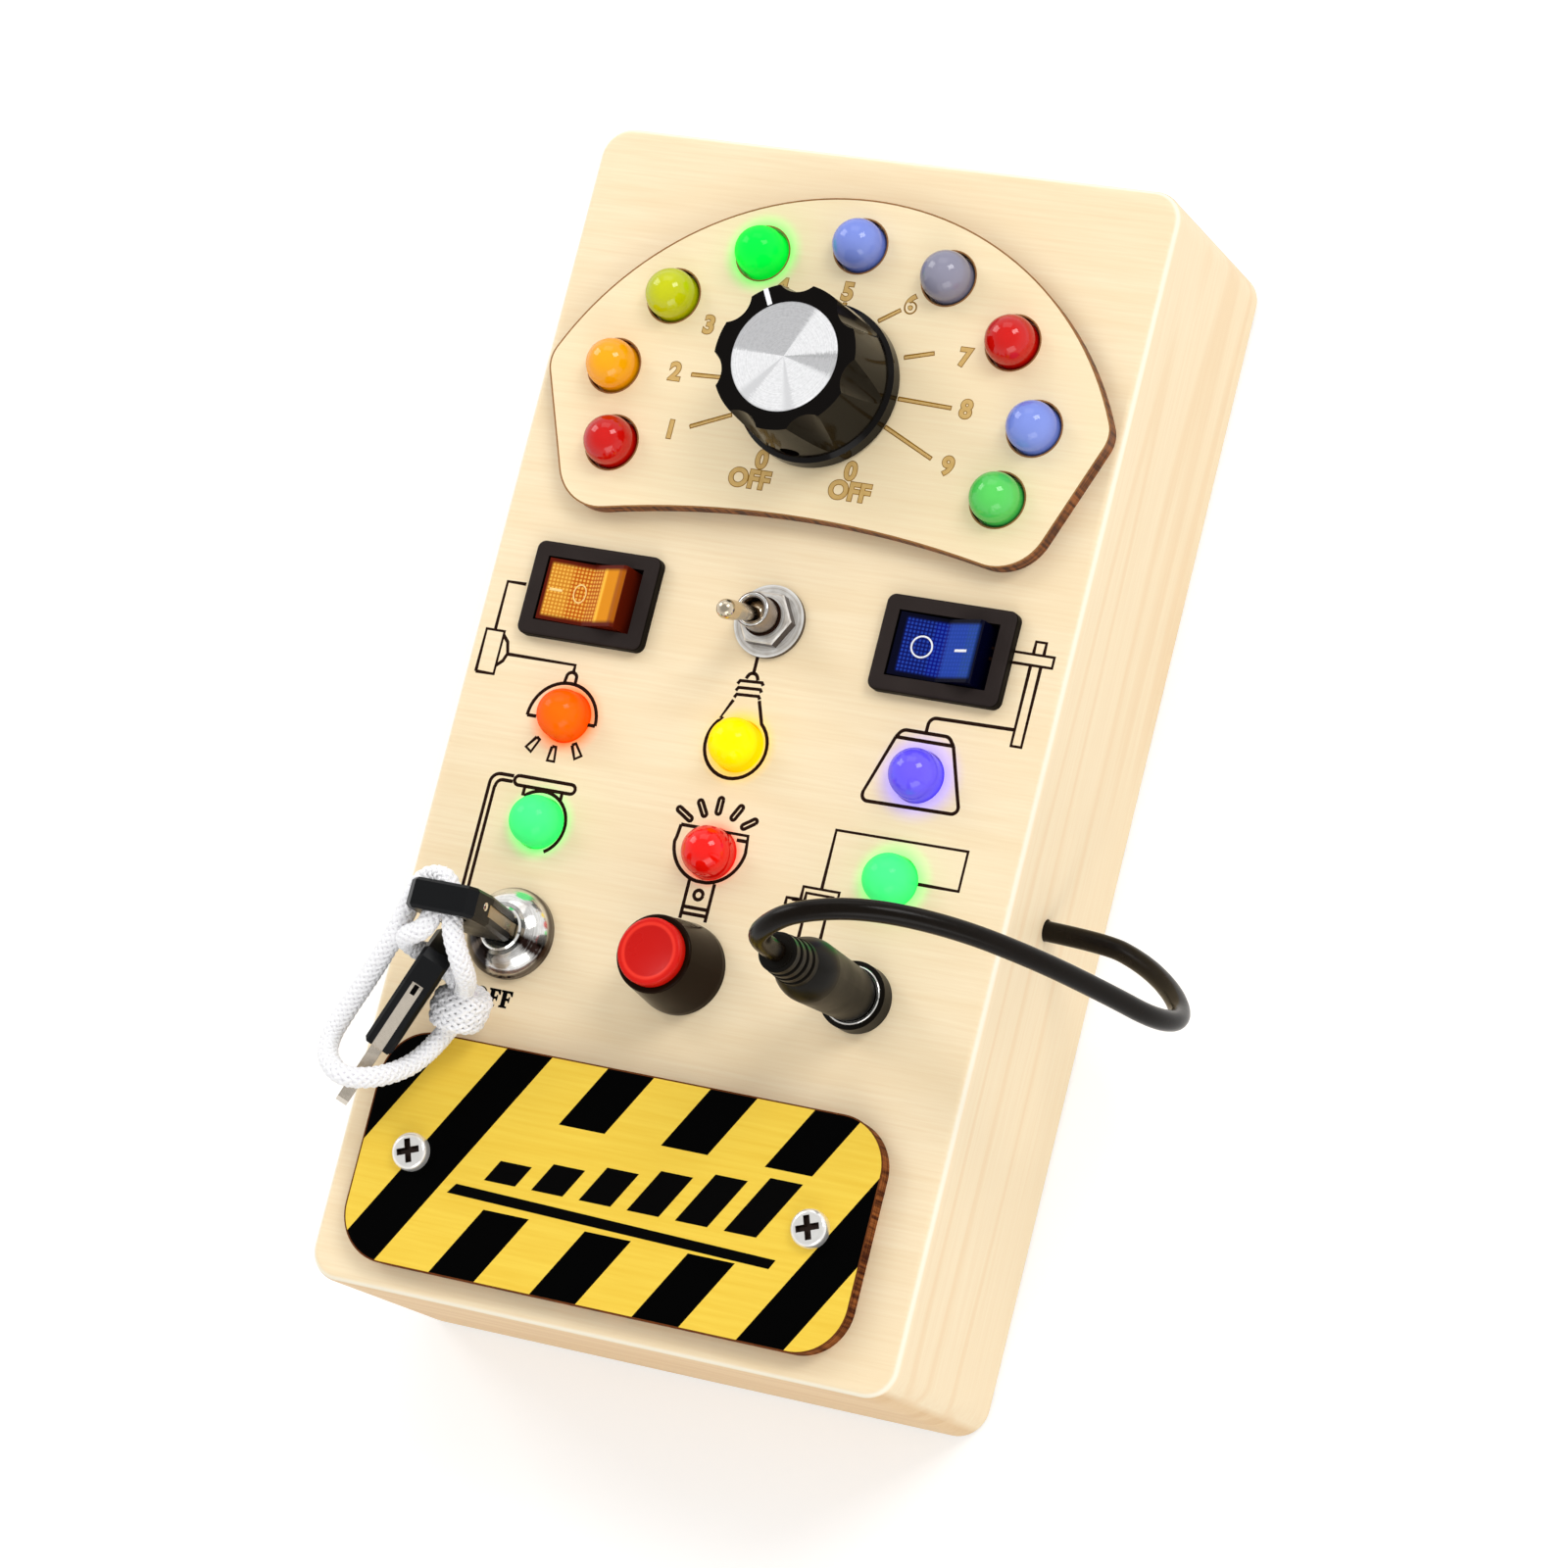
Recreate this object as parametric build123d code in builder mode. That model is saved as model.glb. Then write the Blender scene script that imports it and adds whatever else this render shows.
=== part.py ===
from build123d import *
import math
import os

# Wooden busy board: a shallow pine box with switches, lamps, a key lock, a push button and a
# plug on its face.  It lies on its back.  X runs across the board, Y up it towards the dial,
# and Z out of the face.  The origin is the middle of the back.  All sizes are millimetres.

# ---- box ----
board_width = 100
board_height = 189
board_depth = 40
corner_radius = 5
edge_round = 1.4
panel_thickness = 5
cover_thickness = 3
rail_thickness = 7

face_z = board_depth
panel_back_z = face_z - panel_thickness
half_width = board_width / 2
half_height = board_height / 2

# ---- places on the face ----
lamp_x = 30.2
upper_lamp_y = -1.5
lower_lamp_y = -18.7

dial_center = (0, 55.5)
left_rocker = (-30.9, 17.8)
right_rocker = (29.8, 18.0)
toggle_center = (-0.1, 18.4)
lock_center = (-29.9, -36.6)
button_center = (-0.2, -37.0)
jack_center = (29.6, -36.5)

# ---- dial plate ----
plate_thickness = 3
plate_top_z = face_z + plate_thickness
dial_plate_x = 0.6
dial_plate_top = 86.3
dial_tip = (48.3, 54.3)
dial_corner = (38.9, 30.4)
dial_bottom_rise = 34.8

# ---- lamps ----
lamp_diameter = 8
lamp_hole = 8.4
dial_lamp_hole = 9
lamp_center_z = face_z + 1.7
dial_lamp_center_z = plate_top_z + 1.2
lamp_flange = 9.4
lead_diameter = 0.6
lead_spacing = 2.54
lead_length = 9

# ---- rotary switch and knob ----
knob_gap = 0.5
knob_skirt_diameter = 26
knob_skirt_height = 2.4
knob_base_diameter = 24.6
knob_top_diameter = 23.4
knob_top_z = face_z + 18.6
knob_flutes = 7
knob_pointer_angle = 120
flute_radius = 4
flute_offset = 2.6
flute_taper = 9.5
knob_recess_diameter = 16
grub_radius = 1.5
cap_diameter = 17.5
cap_thickness = 1
shaft_diameter = 6
bushing_diameter = 9
rotary_body_diameter = 25
rotary_body_depth = 12

# ---- rocker switches ----
bezel_size = (21.8, 15.2)
bezel_height = 2
rocker_body = (19.2, 12.9)
rocker_depth = 14
rocker_cavity = (16.8, 10.4)
rocker_cavity_depth = 9
paddle_width = 9.9
paddle_reach = 7.5
paddle_slope = 16
paddle_tilt = 11
paddle_crease = 1.3
pivot_diameter = 2
pivot_fit = 0.04

# ---- toggle switch ----
toggle_bushing_diameter = 5.6
toggle_bushing_top = 7.5
toggle_mouth_radius = 1.95
toggle_washer_diameter = 11.6
toggle_washer_height = 0.8
toggle_nut_flats = 8
toggle_nut_height = 2
toggle_pivot_z = face_z + 4.5
toggle_ball = 2.2
toggle_tip_z = 17.6
toggle_tilt = 12

# ---- key lock and keys ----
lock_ring_diameter = 14.4
lock_barrel_diameter = 12
rotor_diameter = 7.1
rotor_face_z = face_z + 4.6
key_bow_width = 11.7
key_bow_thickness = 4.8
key_bow_end_z = 26
key_full_width_z = 19.5
key_neck_z = 7
key_neck_width = 6.6
blade_width = 5.6
blade_thickness = 1.9
blade_length = 9
tang_top_z = 20.3
lanyard_width = 7.2
lanyard_height = 3.6
lanyard_z = 22.8
cord_diameter = 3

# ---- push button ----
collar_base_diameter = 14.4
collar_top_diameter = 12.2
collar_height = 11
button_bore_diameter = 10.6
button_cap_diameter = 10.46
button_stand = 1.8

# ---- jack and plug ----
jack_flange_diameter = 10.6
jack_flange_height = 3
jack_thread_diameter = 8
jack_bore_diameter = 5.66
jack_pin_diameter = 2
jack_ring_diameter = 9.2
jack_ring_bore = 7
jack_ring_seat = 0.5
sleeve_diameter = 5.5
relief_radius = 3.5
relief_groove = 0.6
plug_gap = 0.5
plug_neck_diameter = 7.8
plug_neck_height = 1.2
plug_foot_diameter = 8.5
plug_diameter = 9.8
plug_shoulder_z = 20
plug_relief_z = 25
plug_end_z = 33
cable_diameter = 3.2

# ---- power plate ----
power_plate_size = (85.6, 36.1)
power_plate_center = (-1.6, -72.4)
power_plate_corner = 8
power_screws = ((-35.5, -73.0), (32.4, -72.0))
pan_shank_diameter = 3
pan_head_diameter = 6
pan_head_height = 1.7
pan_recess = (3.8, 1.05)

# ---- battery compartment ----
battery_diameter = 10.3
battery_length = 43.5
battery_pitch = 10.9
battery_box_size = (56, 37)
battery_box_depth = 15
battery_box_wall = 1.6
battery_box_center = (0, -66)

running_gap = 0.05


def write(builder, label):
    builder.part.label = label
    export_step(builder.part, f"parts/{label}.step")


def spot(center, z):
    """A level plane whose origin is over the given place on the face."""
    return Plane(origin=(center[0], center[1], z))


def rod(center, diameter, low_z, high_z, mode=Mode.ADD):
    """A round rod or, subtracted, a round hole along Z."""
    with BuildSketch(spot(center, low_z)) as outline:
        Circle(diameter / 2)
    extrude(outline.sketch, amount=high_z - low_z, mode=mode)


def block(center, size, low_z, high_z, radius=0, mode=Mode.ADD):
    """A rectangular block along Z, with its upright edges rounded."""
    with BuildSketch(spot(center, low_z)) as outline:
        if radius:
            RectangleRounded(size[0], size[1], radius)
        else:
            Rectangle(size[0], size[1])
    extrude(outline.sketch, amount=high_z - low_z, mode=mode)


def hexagon(center, flats, low_z, high_z, mode=Mode.ADD):
    with BuildSketch(spot(center, low_z)) as outline:
        RegularPolygon(flats / 2, 6, major_radius=False)
    extrude(outline.sketch, amount=high_z - low_z, mode=mode)


# Lamps: each entry is a node name with the places of the lamps of that colour.
dial_lamps = {
    "dial_leds_red": ((-33.1, 42.2), (29.4, 66.7)),
    "dial_led_orange": ((-36.1, 54.5),),
    "dial_led_lime": ((-29.0, 67.0),),
    "dial_led_green_lit": ((-15.7, 75.7),),
    "dial_leds_periwinkle": ((0.4, 78.8), (36.3, 53.8)),
    "dial_led_violet": ((16.3, 75.5),),
    "dial_led_green": ((33.2, 42.0),),
}
circuit_lamps = {
    "circuit_led_orange": ((-lamp_x, upper_lamp_y),),
    "circuit_led_yellow": ((-0.3, upper_lamp_y),),
    "circuit_led_blue": ((lamp_x, upper_lamp_y),),
    "circuit_leds_green": ((-lamp_x, lower_lamp_y), (lamp_x, lower_lamp_y + 0.7)),
    "circuit_led_red": ((-0.2, lower_lamp_y),),
}
dial_lamp_places = [place for group in dial_lamps.values() for place in group]
circuit_lamp_places = [place for group in circuit_lamps.values() for place in group]

os.makedirs("parts", exist_ok=True)

# ---- front panel: a sheet with a hole for everything on the face ----
with BuildPart() as front_panel:
    block((0, 0), (board_width, board_height), panel_back_z, face_z, corner_radius)
    fillet(front_panel.faces().sort_by(Axis.Z)[-1].edges(), edge_round)
    for place in circuit_lamp_places:
        rod(place, lamp_hole, panel_back_z, face_z, Mode.SUBTRACT)
    for place in dial_lamp_places:
        rod(place, lamp_hole, panel_back_z, face_z, Mode.SUBTRACT)
    for place in (left_rocker, right_rocker):
        size = (rocker_body[0] + 0.2, rocker_body[1] + 0.2)
        block(place, size, panel_back_z, face_z, mode=Mode.SUBTRACT)
    for place, diameter in (
        (dial_center, bushing_diameter),
        (toggle_center, toggle_bushing_diameter),
        (lock_center, lock_barrel_diameter),
        (button_center, lock_barrel_diameter),
        (jack_center, jack_thread_diameter),
    ):
        rod(place, diameter + 0.2, panel_back_z, face_z, Mode.SUBTRACT)
    for place in power_screws:
        hole = pan_shank_diameter + 2 * running_gap
        rod(place, hole, panel_back_z, face_z, Mode.SUBTRACT)
write(front_panel, "front_panel")

# ---- rails: two long sides with the top and bottom rail between them ----
cover_screw_y = (-87, 0, 87)
cover_screw_x = half_width - rail_thickness / 2
cable_hole = (half_width, -18.6, face_z - 15.6)
screw_core = 2.8
screw_bite = 14

for side, name in ((-1, "side_rail_left"), (1, "side_rail_right")):
    with BuildPart() as side_rail:
        center = (side * (half_width - rail_thickness / 2), 0)
        block(center, (rail_thickness, board_height), cover_thickness, panel_back_z)
        outer = side_rail.edges().filter_by(Axis.Z).group_by(Axis.X)[-1 if side > 0 else 0]
        fillet(outer, corner_radius)
        for y in cover_screw_y:
            place = (side * cover_screw_x, y)
            top = cover_thickness + screw_bite
            rod(place, screw_core + 2 * running_gap, cover_thickness, top, Mode.SUBTRACT)
        if side > 0:
            with BuildSketch(Plane.YZ.offset(half_width)):
                with Locations((cable_hole[1], cable_hole[2])):
                    Circle(cable_diameter / 2 + 0.15)
            extrude(amount=-rail_thickness, mode=Mode.SUBTRACT)
    write(side_rail, name)

for side, name in ((1, "top_rail"), (-1, "bottom_rail")):
    with BuildPart() as end_rail:
        center = (0, side * (half_height - rail_thickness / 2))
        size = (board_width - 2 * rail_thickness, rail_thickness)
        block(center, size, cover_thickness, panel_back_z)
    write(end_rail, name)

# ---- back cover, with the battery door let into it ----
door_size = (battery_box_size[0] - 8, battery_box_size[1] - 4)
door_tab = (10, 11)
door_screw = (battery_box_center[0], battery_box_center[1] + door_size[1] / 2 + 5.5)
countersink_diameter = 6
countersink_depth = 1.8
head_recess = 0.3

with BuildPart() as back_cover:
    block((0, 0), (board_width, board_height), 0, cover_thickness, corner_radius)
    fillet(back_cover.faces().sort_by(Axis.Z)[0].edges(), 1)
    for x in (-cover_screw_x, cover_screw_x):
        for y in cover_screw_y:
            rod((x, y), 3 + 2 * running_gap, 0, cover_thickness, Mode.SUBTRACT)
            with BuildSketch(spot((x, y), 0)):
                Circle(countersink_diameter / 2 + 0.1)
            with BuildSketch(spot((x, y), head_recess + countersink_depth)):
                Circle(1.5 + running_gap)
            loft(mode=Mode.SUBTRACT)
    opening = (door_size[0] + 0.6, door_size[1] + 0.6)
    block(battery_box_center, opening, 0, cover_thickness, 2, Mode.SUBTRACT)
    tab_center = (door_screw[0], door_screw[1] - 1)
    tab_recess = (door_tab[0] + 0.6, door_tab[1] + 2)
    block(tab_center, tab_recess, 0, 1.4, mode=Mode.SUBTRACT)
    rod(door_screw, 2.4, 0, cover_thickness, Mode.SUBTRACT)
write(back_cover, "back_cover")

# The screws have a countersunk head just under the back face, so the board rests on its cover.
with BuildPart() as back_cover_screws:
    for x in (-cover_screw_x, cover_screw_x):
        for y in cover_screw_y:
            with BuildSketch(spot((x, y), head_recess)):
                Circle(countersink_diameter / 2 - 0.3)
            with BuildSketch(spot((x, y), head_recess + countersink_depth)):
                Circle(screw_core / 2)
            loft()
            rod((x, y), screw_core, head_recess + countersink_depth, cover_thickness + screw_bite - 1)
            for angle in (0, 90):
                with BuildSketch(Plane(origin=(x, y, head_recess)).rotated((0, 0, angle))):
                    Rectangle(3.2, 0.7)
                extrude(amount=0.8, mode=Mode.SUBTRACT)
    # The short screw of the battery door.
    rod(door_screw, 2.3, 1.0, cover_thickness + 2)
    rod(door_screw, 4.2, 0.2, 1.0)
write(back_cover_screws, "back_cover_screws")

# ---- dial plate: a thin sheet with an arched top, rounded tips and a hollow lower edge ----
with BuildPart() as dial_plate:
    with BuildSketch(spot((dial_plate_x, 0), face_z)):
        with BuildLine():
            ThreePointArc((-dial_tip[0], dial_tip[1]), (0, dial_plate_top), dial_tip)
            Line(dial_tip, (dial_corner[0], dial_corner[1]))
            ThreePointArc(
                (dial_corner[0], dial_corner[1]),
                (0, dial_bottom_rise),
                (-dial_corner[0], dial_corner[1]),
            )
            Line((-dial_corner[0], dial_corner[1]), (-dial_tip[0], dial_tip[1]))
        make_face()
    extrude(amount=plate_thickness)
    upright = dial_plate.edges().filter_by(Axis.Z)
    fillet(upright.group_by(Axis.Y)[0], 8)
    upright = dial_plate.edges().filter_by(Axis.Z)
    fillet(upright.group_by(Axis.Y)[-1], 5)
    for place in dial_lamp_places:
        rod(place, dial_lamp_hole, face_z, plate_top_z, Mode.SUBTRACT)
    rod(dial_center, bushing_diameter + 0.2, face_z, plate_top_z, Mode.SUBTRACT)
write(dial_plate, "dial_plate")


# ---- lamps: a domed lens with a flange behind the panel and two leads ----
def lamps(places, center_z):
    with BuildPart() as lamp_group:
        for x, y in places:
            radius = lamp_diameter / 2
            flange_z = panel_back_z - 1.5
            with BuildSketch(Plane.XZ.offset(-y)):
                with BuildLine():
                    Line((x, flange_z), (x + lamp_flange / 2, flange_z))
                    Line((x + lamp_flange / 2, flange_z), (x + lamp_flange / 2, panel_back_z))
                    Line((x + lamp_flange / 2, panel_back_z), (x + radius, panel_back_z))
                    Line((x + radius, panel_back_z), (x + radius, center_z))
                    CenterArc((x, center_z), radius, 0, 90)
                    Line((x, center_z + radius), (x, flange_z))
                make_face()
            revolve(axis=Axis((x, y, 0), (0, 0, 1)))
            for side in (-1, 1):
                lead = (x + side * lead_spacing / 2, y)
                rod(lead, lead_diameter, flange_z - lead_length, flange_z)
    return lamp_group


for name, places in dial_lamps.items():
    write(lamps(places, dial_lamp_center_z), name)
for name, places in circuit_lamps.items():
    write(lamps(places, lamp_center_z), name)

# ---- rotary switch behind the panel, its bushing through panel and dial plate ----
rotary_floor_z = panel_back_z - rotary_body_depth
bushing_top_z = plate_top_z + 2.6
with BuildPart() as rotary_switch_body:
    rod(dial_center, rotary_body_diameter, rotary_floor_z, panel_back_z)
    rod(dial_center, bushing_diameter, panel_back_z, bushing_top_z)
    shaft_hole = shaft_diameter + 2 * running_gap
    rod(dial_center, shaft_hole, rotary_floor_z + 2, bushing_top_z, Mode.SUBTRACT)
    with BuildSketch(spot(dial_center, rotary_floor_z)):
        with PolarLocations(9.5, 12):
            Rectangle(2, 0.8)
    extrude(amount=-5)
write(rotary_switch_body, "rotary_switch_body")

shaft_top_z = knob_top_z - 3.2
with BuildPart() as rotary_switch_shaft:
    rod(dial_center, shaft_diameter, rotary_floor_z + 2.2, shaft_top_z)
    # The flat that the grub screw bears on, above the bushing.
    flat = (dial_center[0], dial_center[1] - 4)
    block(flat, (8, 3), bushing_top_z + 0.5, shaft_top_z, mode=Mode.SUBTRACT)
write(rotary_switch_shaft, "rotary_switch_shaft")

knob_base_z = plate_top_z + knob_gap
skirt_top_z = knob_base_z + knob_skirt_height
with BuildPart() as dial_knob:
    with BuildSketch(Plane.XZ.offset(-dial_center[1])):
        with BuildLine():
            Polyline(
                (0, knob_base_z),
                (knob_skirt_diameter / 2, knob_base_z),
                (knob_skirt_diameter / 2, skirt_top_z),
                (knob_base_diameter / 2, skirt_top_z + 0.6),
                (knob_top_diameter / 2, knob_top_z),
                (0, knob_top_z),
                close=True,
            )
        make_face()
    revolve(axis=Axis((dial_center[0], dial_center[1], 0), (0, 0, 1)))
    # Seven finger flutes, each fading out towards the skirt.
    flute_start = knob_pointer_angle + 180 / knob_flutes
    with BuildSketch(spot(dial_center, knob_top_z)):
        ring_radius = knob_top_diameter / 2 + flute_offset
        with PolarLocations(ring_radius, knob_flutes, start_angle=flute_start):
            Circle(flute_radius)
    flute_depth = knob_top_z - skirt_top_z - 1.2
    extrude(amount=-flute_depth, taper=flute_taper, mode=Mode.SUBTRACT)
    rod(dial_center, cap_diameter + 0.1, knob_top_z - cap_thickness + 0.2, knob_top_z, Mode.SUBTRACT)
    rod(dial_center, shaft_diameter + 0.04, knob_base_z, shaft_top_z + 0.4, Mode.SUBTRACT)
    rod(dial_center, knob_recess_diameter, knob_base_z, bushing_top_z + 0.6, Mode.SUBTRACT)
    grub_z = bushing_top_z + 3
    with BuildSketch(Plane.XZ.offset(-(dial_center[1] - knob_base_diameter / 2 - 1))):
        with Locations((dial_center[0], grub_z)):
            Circle(grub_radius + running_gap)
    extrude(amount=-knob_base_diameter / 2 + 1, mode=Mode.SUBTRACT)
write(dial_knob, "dial_knob")

with BuildPart() as knob_set_screw:
    with BuildSketch(Plane.XZ.offset(-(dial_center[1] - 8.6))):
        with Locations((dial_center[0], grub_z)):
            Circle(grub_radius)
            RegularPolygon(0.75, 6, major_radius=False, mode=Mode.SUBTRACT)
    extrude(amount=-3)
    with BuildSketch(Plane.XZ.offset(-(dial_center[1] - 5.6))):
        with Locations((dial_center[0], grub_z)):
            Circle(grub_radius)
    extrude(amount=-3)
write(knob_set_screw, "knob_set_screw")

with BuildPart() as dial_knob_cap:
    rod(dial_center, cap_diameter, knob_top_z - cap_thickness + 0.2, knob_top_z + 0.2)
    chamfer(dial_knob_cap.faces().sort_by(Axis.Z)[-1].edges(), 0.2)
write(dial_knob_cap, "dial_knob_cap")


# ---- rocker switches: a housing with a bezel, and a paddle that is two slopes in a shallow V ----
def rocker_housing(center):
    with BuildPart() as housing:
        block(center, bezel_size, face_z, face_z + bezel_height, 1.4)
        fillet(housing.faces().sort_by(Axis.Z)[-1].edges(), 0.5)
        block(center, rocker_body, face_z - rocker_depth, face_z)
        cavity_z = face_z - rocker_cavity_depth
        block(center, rocker_cavity, cavity_z, face_z + bezel_height, mode=Mode.SUBTRACT)
        # Blind holes for the pivot pins, one in each long wall.
        with BuildSketch(Plane.XZ.offset(-center[1])):
            with Locations((center[0], face_z)):
                Circle(pivot_diameter / 2 + pivot_fit)
        extrude(amount=rocker_cavity[1] / 2 + 0.8, both=True, mode=Mode.SUBTRACT)
    return housing


def paddle_point(x, z):
    """A point of the paddle's outline, turned about the pivot so that its left end is down."""
    turn = math.radians(paddle_tilt)
    return (x * math.cos(turn) - z * math.sin(turn), x * math.sin(turn) + z * math.cos(turn))


def rocker_paddle(center):
    tip_z = paddle_crease + paddle_reach * math.tan(math.radians(paddle_slope))
    right_side = [(0, paddle_crease), (paddle_reach, tip_z), (6.6, -3.4), (3, -4.8)]
    left_side = [(-x, z) for x, z in reversed(right_side[1:])]
    outline = [paddle_point(x, z) for x, z in right_side + left_side]
    with BuildPart() as paddle:
        with BuildSketch(Plane.XZ.offset(-center[1])):
            with Locations((center[0], face_z)):
                Polygon(*outline, align=None)
        extrude(amount=paddle_width / 2, both=True)
        # The upper ends are eased so that they pass the bezel.
        fillet(paddle.edges().filter_by(Axis.Y).sort_by(Axis.Z)[-1], 0.5)
        with BuildSketch(Plane.XZ.offset(-center[1])):
            with Locations((center[0], face_z)):
                Circle(pivot_diameter / 2)
        extrude(amount=rocker_cavity[1] / 2 + 0.6, both=True)
    return paddle


for center, side in ((left_rocker, "left"), (right_rocker, "right")):
    write(rocker_housing(center), f"rocker_{side}_housing")
    write(rocker_paddle(center), f"rocker_{side}_paddle")

# ---- toggle switch ----
toggle_floor_z = panel_back_z - 9
with BuildPart() as toggle_body:
    block(toggle_center, (8, 13), toggle_floor_z, panel_back_z)
    rod(toggle_center, toggle_bushing_diameter, panel_back_z, face_z + toggle_bushing_top)
    bore_radius = toggle_ball + running_gap
    rod(toggle_center, 2 * bore_radius, panel_back_z - 2, toggle_pivot_z, Mode.SUBTRACT)
    with BuildSketch(Plane.XZ.offset(-toggle_center[1])):
        with BuildLine():
            mouth_z = face_z + toggle_bushing_top
            seat_z = toggle_pivot_z + 0.9
            seat_x = math.sqrt(bore_radius**2 - 0.9**2)
            x = toggle_center[0]
            Line((x, toggle_pivot_z), (x + bore_radius, toggle_pivot_z))
            RadiusArc((x + bore_radius, toggle_pivot_z), (x + seat_x, seat_z), -bore_radius)
            Line((x + seat_x, seat_z), (x + toggle_mouth_radius, mouth_z))
            Line((x + toggle_mouth_radius, mouth_z), (x, mouth_z))
            Line((x, mouth_z), (x, toggle_pivot_z))
        make_face()
    revolve(axis=Axis((toggle_center[0], toggle_center[1], 0), (0, 0, 1)), mode=Mode.SUBTRACT)
write(toggle_body, "toggle_body")

washer_top_z = face_z + toggle_washer_height
with BuildPart() as toggle_washer:
    rod(toggle_center, toggle_washer_diameter, face_z, washer_top_z)
    bore = toggle_bushing_diameter + 0.1
    rod(toggle_center, bore, face_z, washer_top_z, Mode.SUBTRACT)
write(toggle_washer, "toggle_washer")

with BuildPart() as toggle_nut:
    nut_top_z = washer_top_z + toggle_nut_height
    hexagon(toggle_center, toggle_nut_flats, washer_top_z, nut_top_z)
    chamfer(toggle_nut.faces().sort_by(Axis.Z)[-1].edges(), 0.25)
    rod(toggle_center, bore, washer_top_z, nut_top_z, Mode.SUBTRACT)
write(toggle_nut, "toggle_nut")

# The bat lever is a ball with a slim stem that swells to a round tip, leaning down the board.
lever_plane = Plane(
    origin=(toggle_center[0], toggle_center[1], toggle_pivot_z),
    z_dir=(0, -math.sin(math.radians(toggle_tilt)), math.cos(math.radians(toggle_tilt))),
    x_dir=(1, 0, 0),
)
lever_length = toggle_tip_z - 4.5 + 0.3
with BuildPart() as toggle_lever:
    with BuildSketch(Plane(lever_plane.origin, x_dir=(1, 0, 0), z_dir=lever_plane.y_dir * -1)):
        with BuildLine():
            stem = 1.05
            tip = 1.55
            tail = 0.8
            ball_z = math.sqrt(toggle_ball**2 - stem**2)
            tail_z = -math.sqrt(toggle_ball**2 - tail**2)
            Line((0, -3.2), (tail, -3.2))
            Line((tail, -3.2), (tail, tail_z))
            ThreePointArc((tail, tail_z), (toggle_ball, 0), (stem, ball_z))
            Line((stem, ball_z), (tip, lever_length - tip - 2))
            Line((tip, lever_length - tip - 2), (tip, lever_length - tip))
            CenterArc((0, lever_length - tip), tip, 0, 90)
            Line((0, lever_length), (0, -3.2))
        make_face()
    revolve(axis=Axis(lever_plane.origin, lever_plane.z_dir))
write(toggle_lever, "toggle_lever")

# ---- key lock ----
lock_floor_z = panel_back_z - 17
lock_cap_height = 4.2
with BuildPart() as lock_body:
    with BuildSketch(Plane.XZ.offset(-lock_center[1])):
        with BuildLine():
            x = lock_center[0]
            ring = lock_ring_diameter / 2
            barrel = lock_barrel_diameter / 2
            inner = rotor_diameter / 2 + running_gap
            Line((x, lock_floor_z), (x + barrel, lock_floor_z))
            Line((x + barrel, lock_floor_z), (x + barrel, face_z))
            Line((x + barrel, face_z), (x + ring, face_z))
            Line((x + ring, face_z), (x + ring, face_z + 1))
            RadiusArc((x + ring, face_z + 1), (x + inner + 0.6, face_z + lock_cap_height), -6)
            Line((x + inner + 0.6, face_z + lock_cap_height), (x, face_z + lock_cap_height))
            Line((x, face_z + lock_cap_height), (x, lock_floor_z))
        make_face()
    revolve(axis=Axis((lock_center[0], lock_center[1], 0), (0, 0, 1)))
    rotor_hole_z = lock_floor_z + 2
    bore = rotor_diameter + 2 * running_gap
    rod(lock_center, bore, rotor_hole_z, face_z + lock_cap_height, Mode.SUBTRACT)
write(lock_body, "lock_body")

with BuildPart() as lock_rotor:
    rod(lock_center, rotor_diameter, rotor_hole_z + 0.2, rotor_face_z)
    chamfer(lock_rotor.faces().sort_by(Axis.Z)[-1].edges(), 0.3)
    keyway = (blade_width + 0.3, blade_thickness + 0.2)
    keyway_floor_z = rotor_face_z - blade_length - 0.5
    block(lock_center, keyway, keyway_floor_z, rotor_face_z, mode=Mode.SUBTRACT)
write(lock_rotor, "lock_rotor")


# ---- keys: a flat plastic bow over a steel blade whose tang shows along the bow's edges ----
# Each is drawn on a plane through its own axis: x across the bow, y along it, away from the tip.
def key_bow(plane):
    end_cut = 1.3
    half = key_bow_width / 2
    neck = key_neck_width / 2
    right = [
        (neck, key_neck_z),
        (half, key_full_width_z),
        (half, key_bow_end_z - end_cut),
        (half - end_cut, key_bow_end_z),
    ]
    left = [(-x, y) for x, y in reversed(right)]
    with BuildPart() as bow:
        with BuildSketch(plane):
            Polygon(*(right + left), align=None)
        extrude(amount=key_bow_thickness / 2, both=True)
        flat_sides = bow.faces().sort_by(Axis(plane.origin, plane.z_dir))
        chamfer(flat_sides[-1].edges() + flat_sides[0].edges(), 0.5)
        with BuildSketch(plane):
            with Locations((0, lanyard_z)):
                RectangleRounded(lanyard_width, lanyard_height, 1.7)
        extrude(amount=key_bow_thickness, both=True, mode=Mode.SUBTRACT)
        with BuildSketch(plane):
            Polygon(
                (-half - 1, key_neck_z - 1),
                (half + 1, key_neck_z - 1),
                (half + 1, tang_top_z),
                (-half - 1, tang_top_z),
                align=None,
            )
        extrude(amount=blade_thickness / 2 + 0.01, both=True, mode=Mode.SUBTRACT)
    return bow


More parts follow.
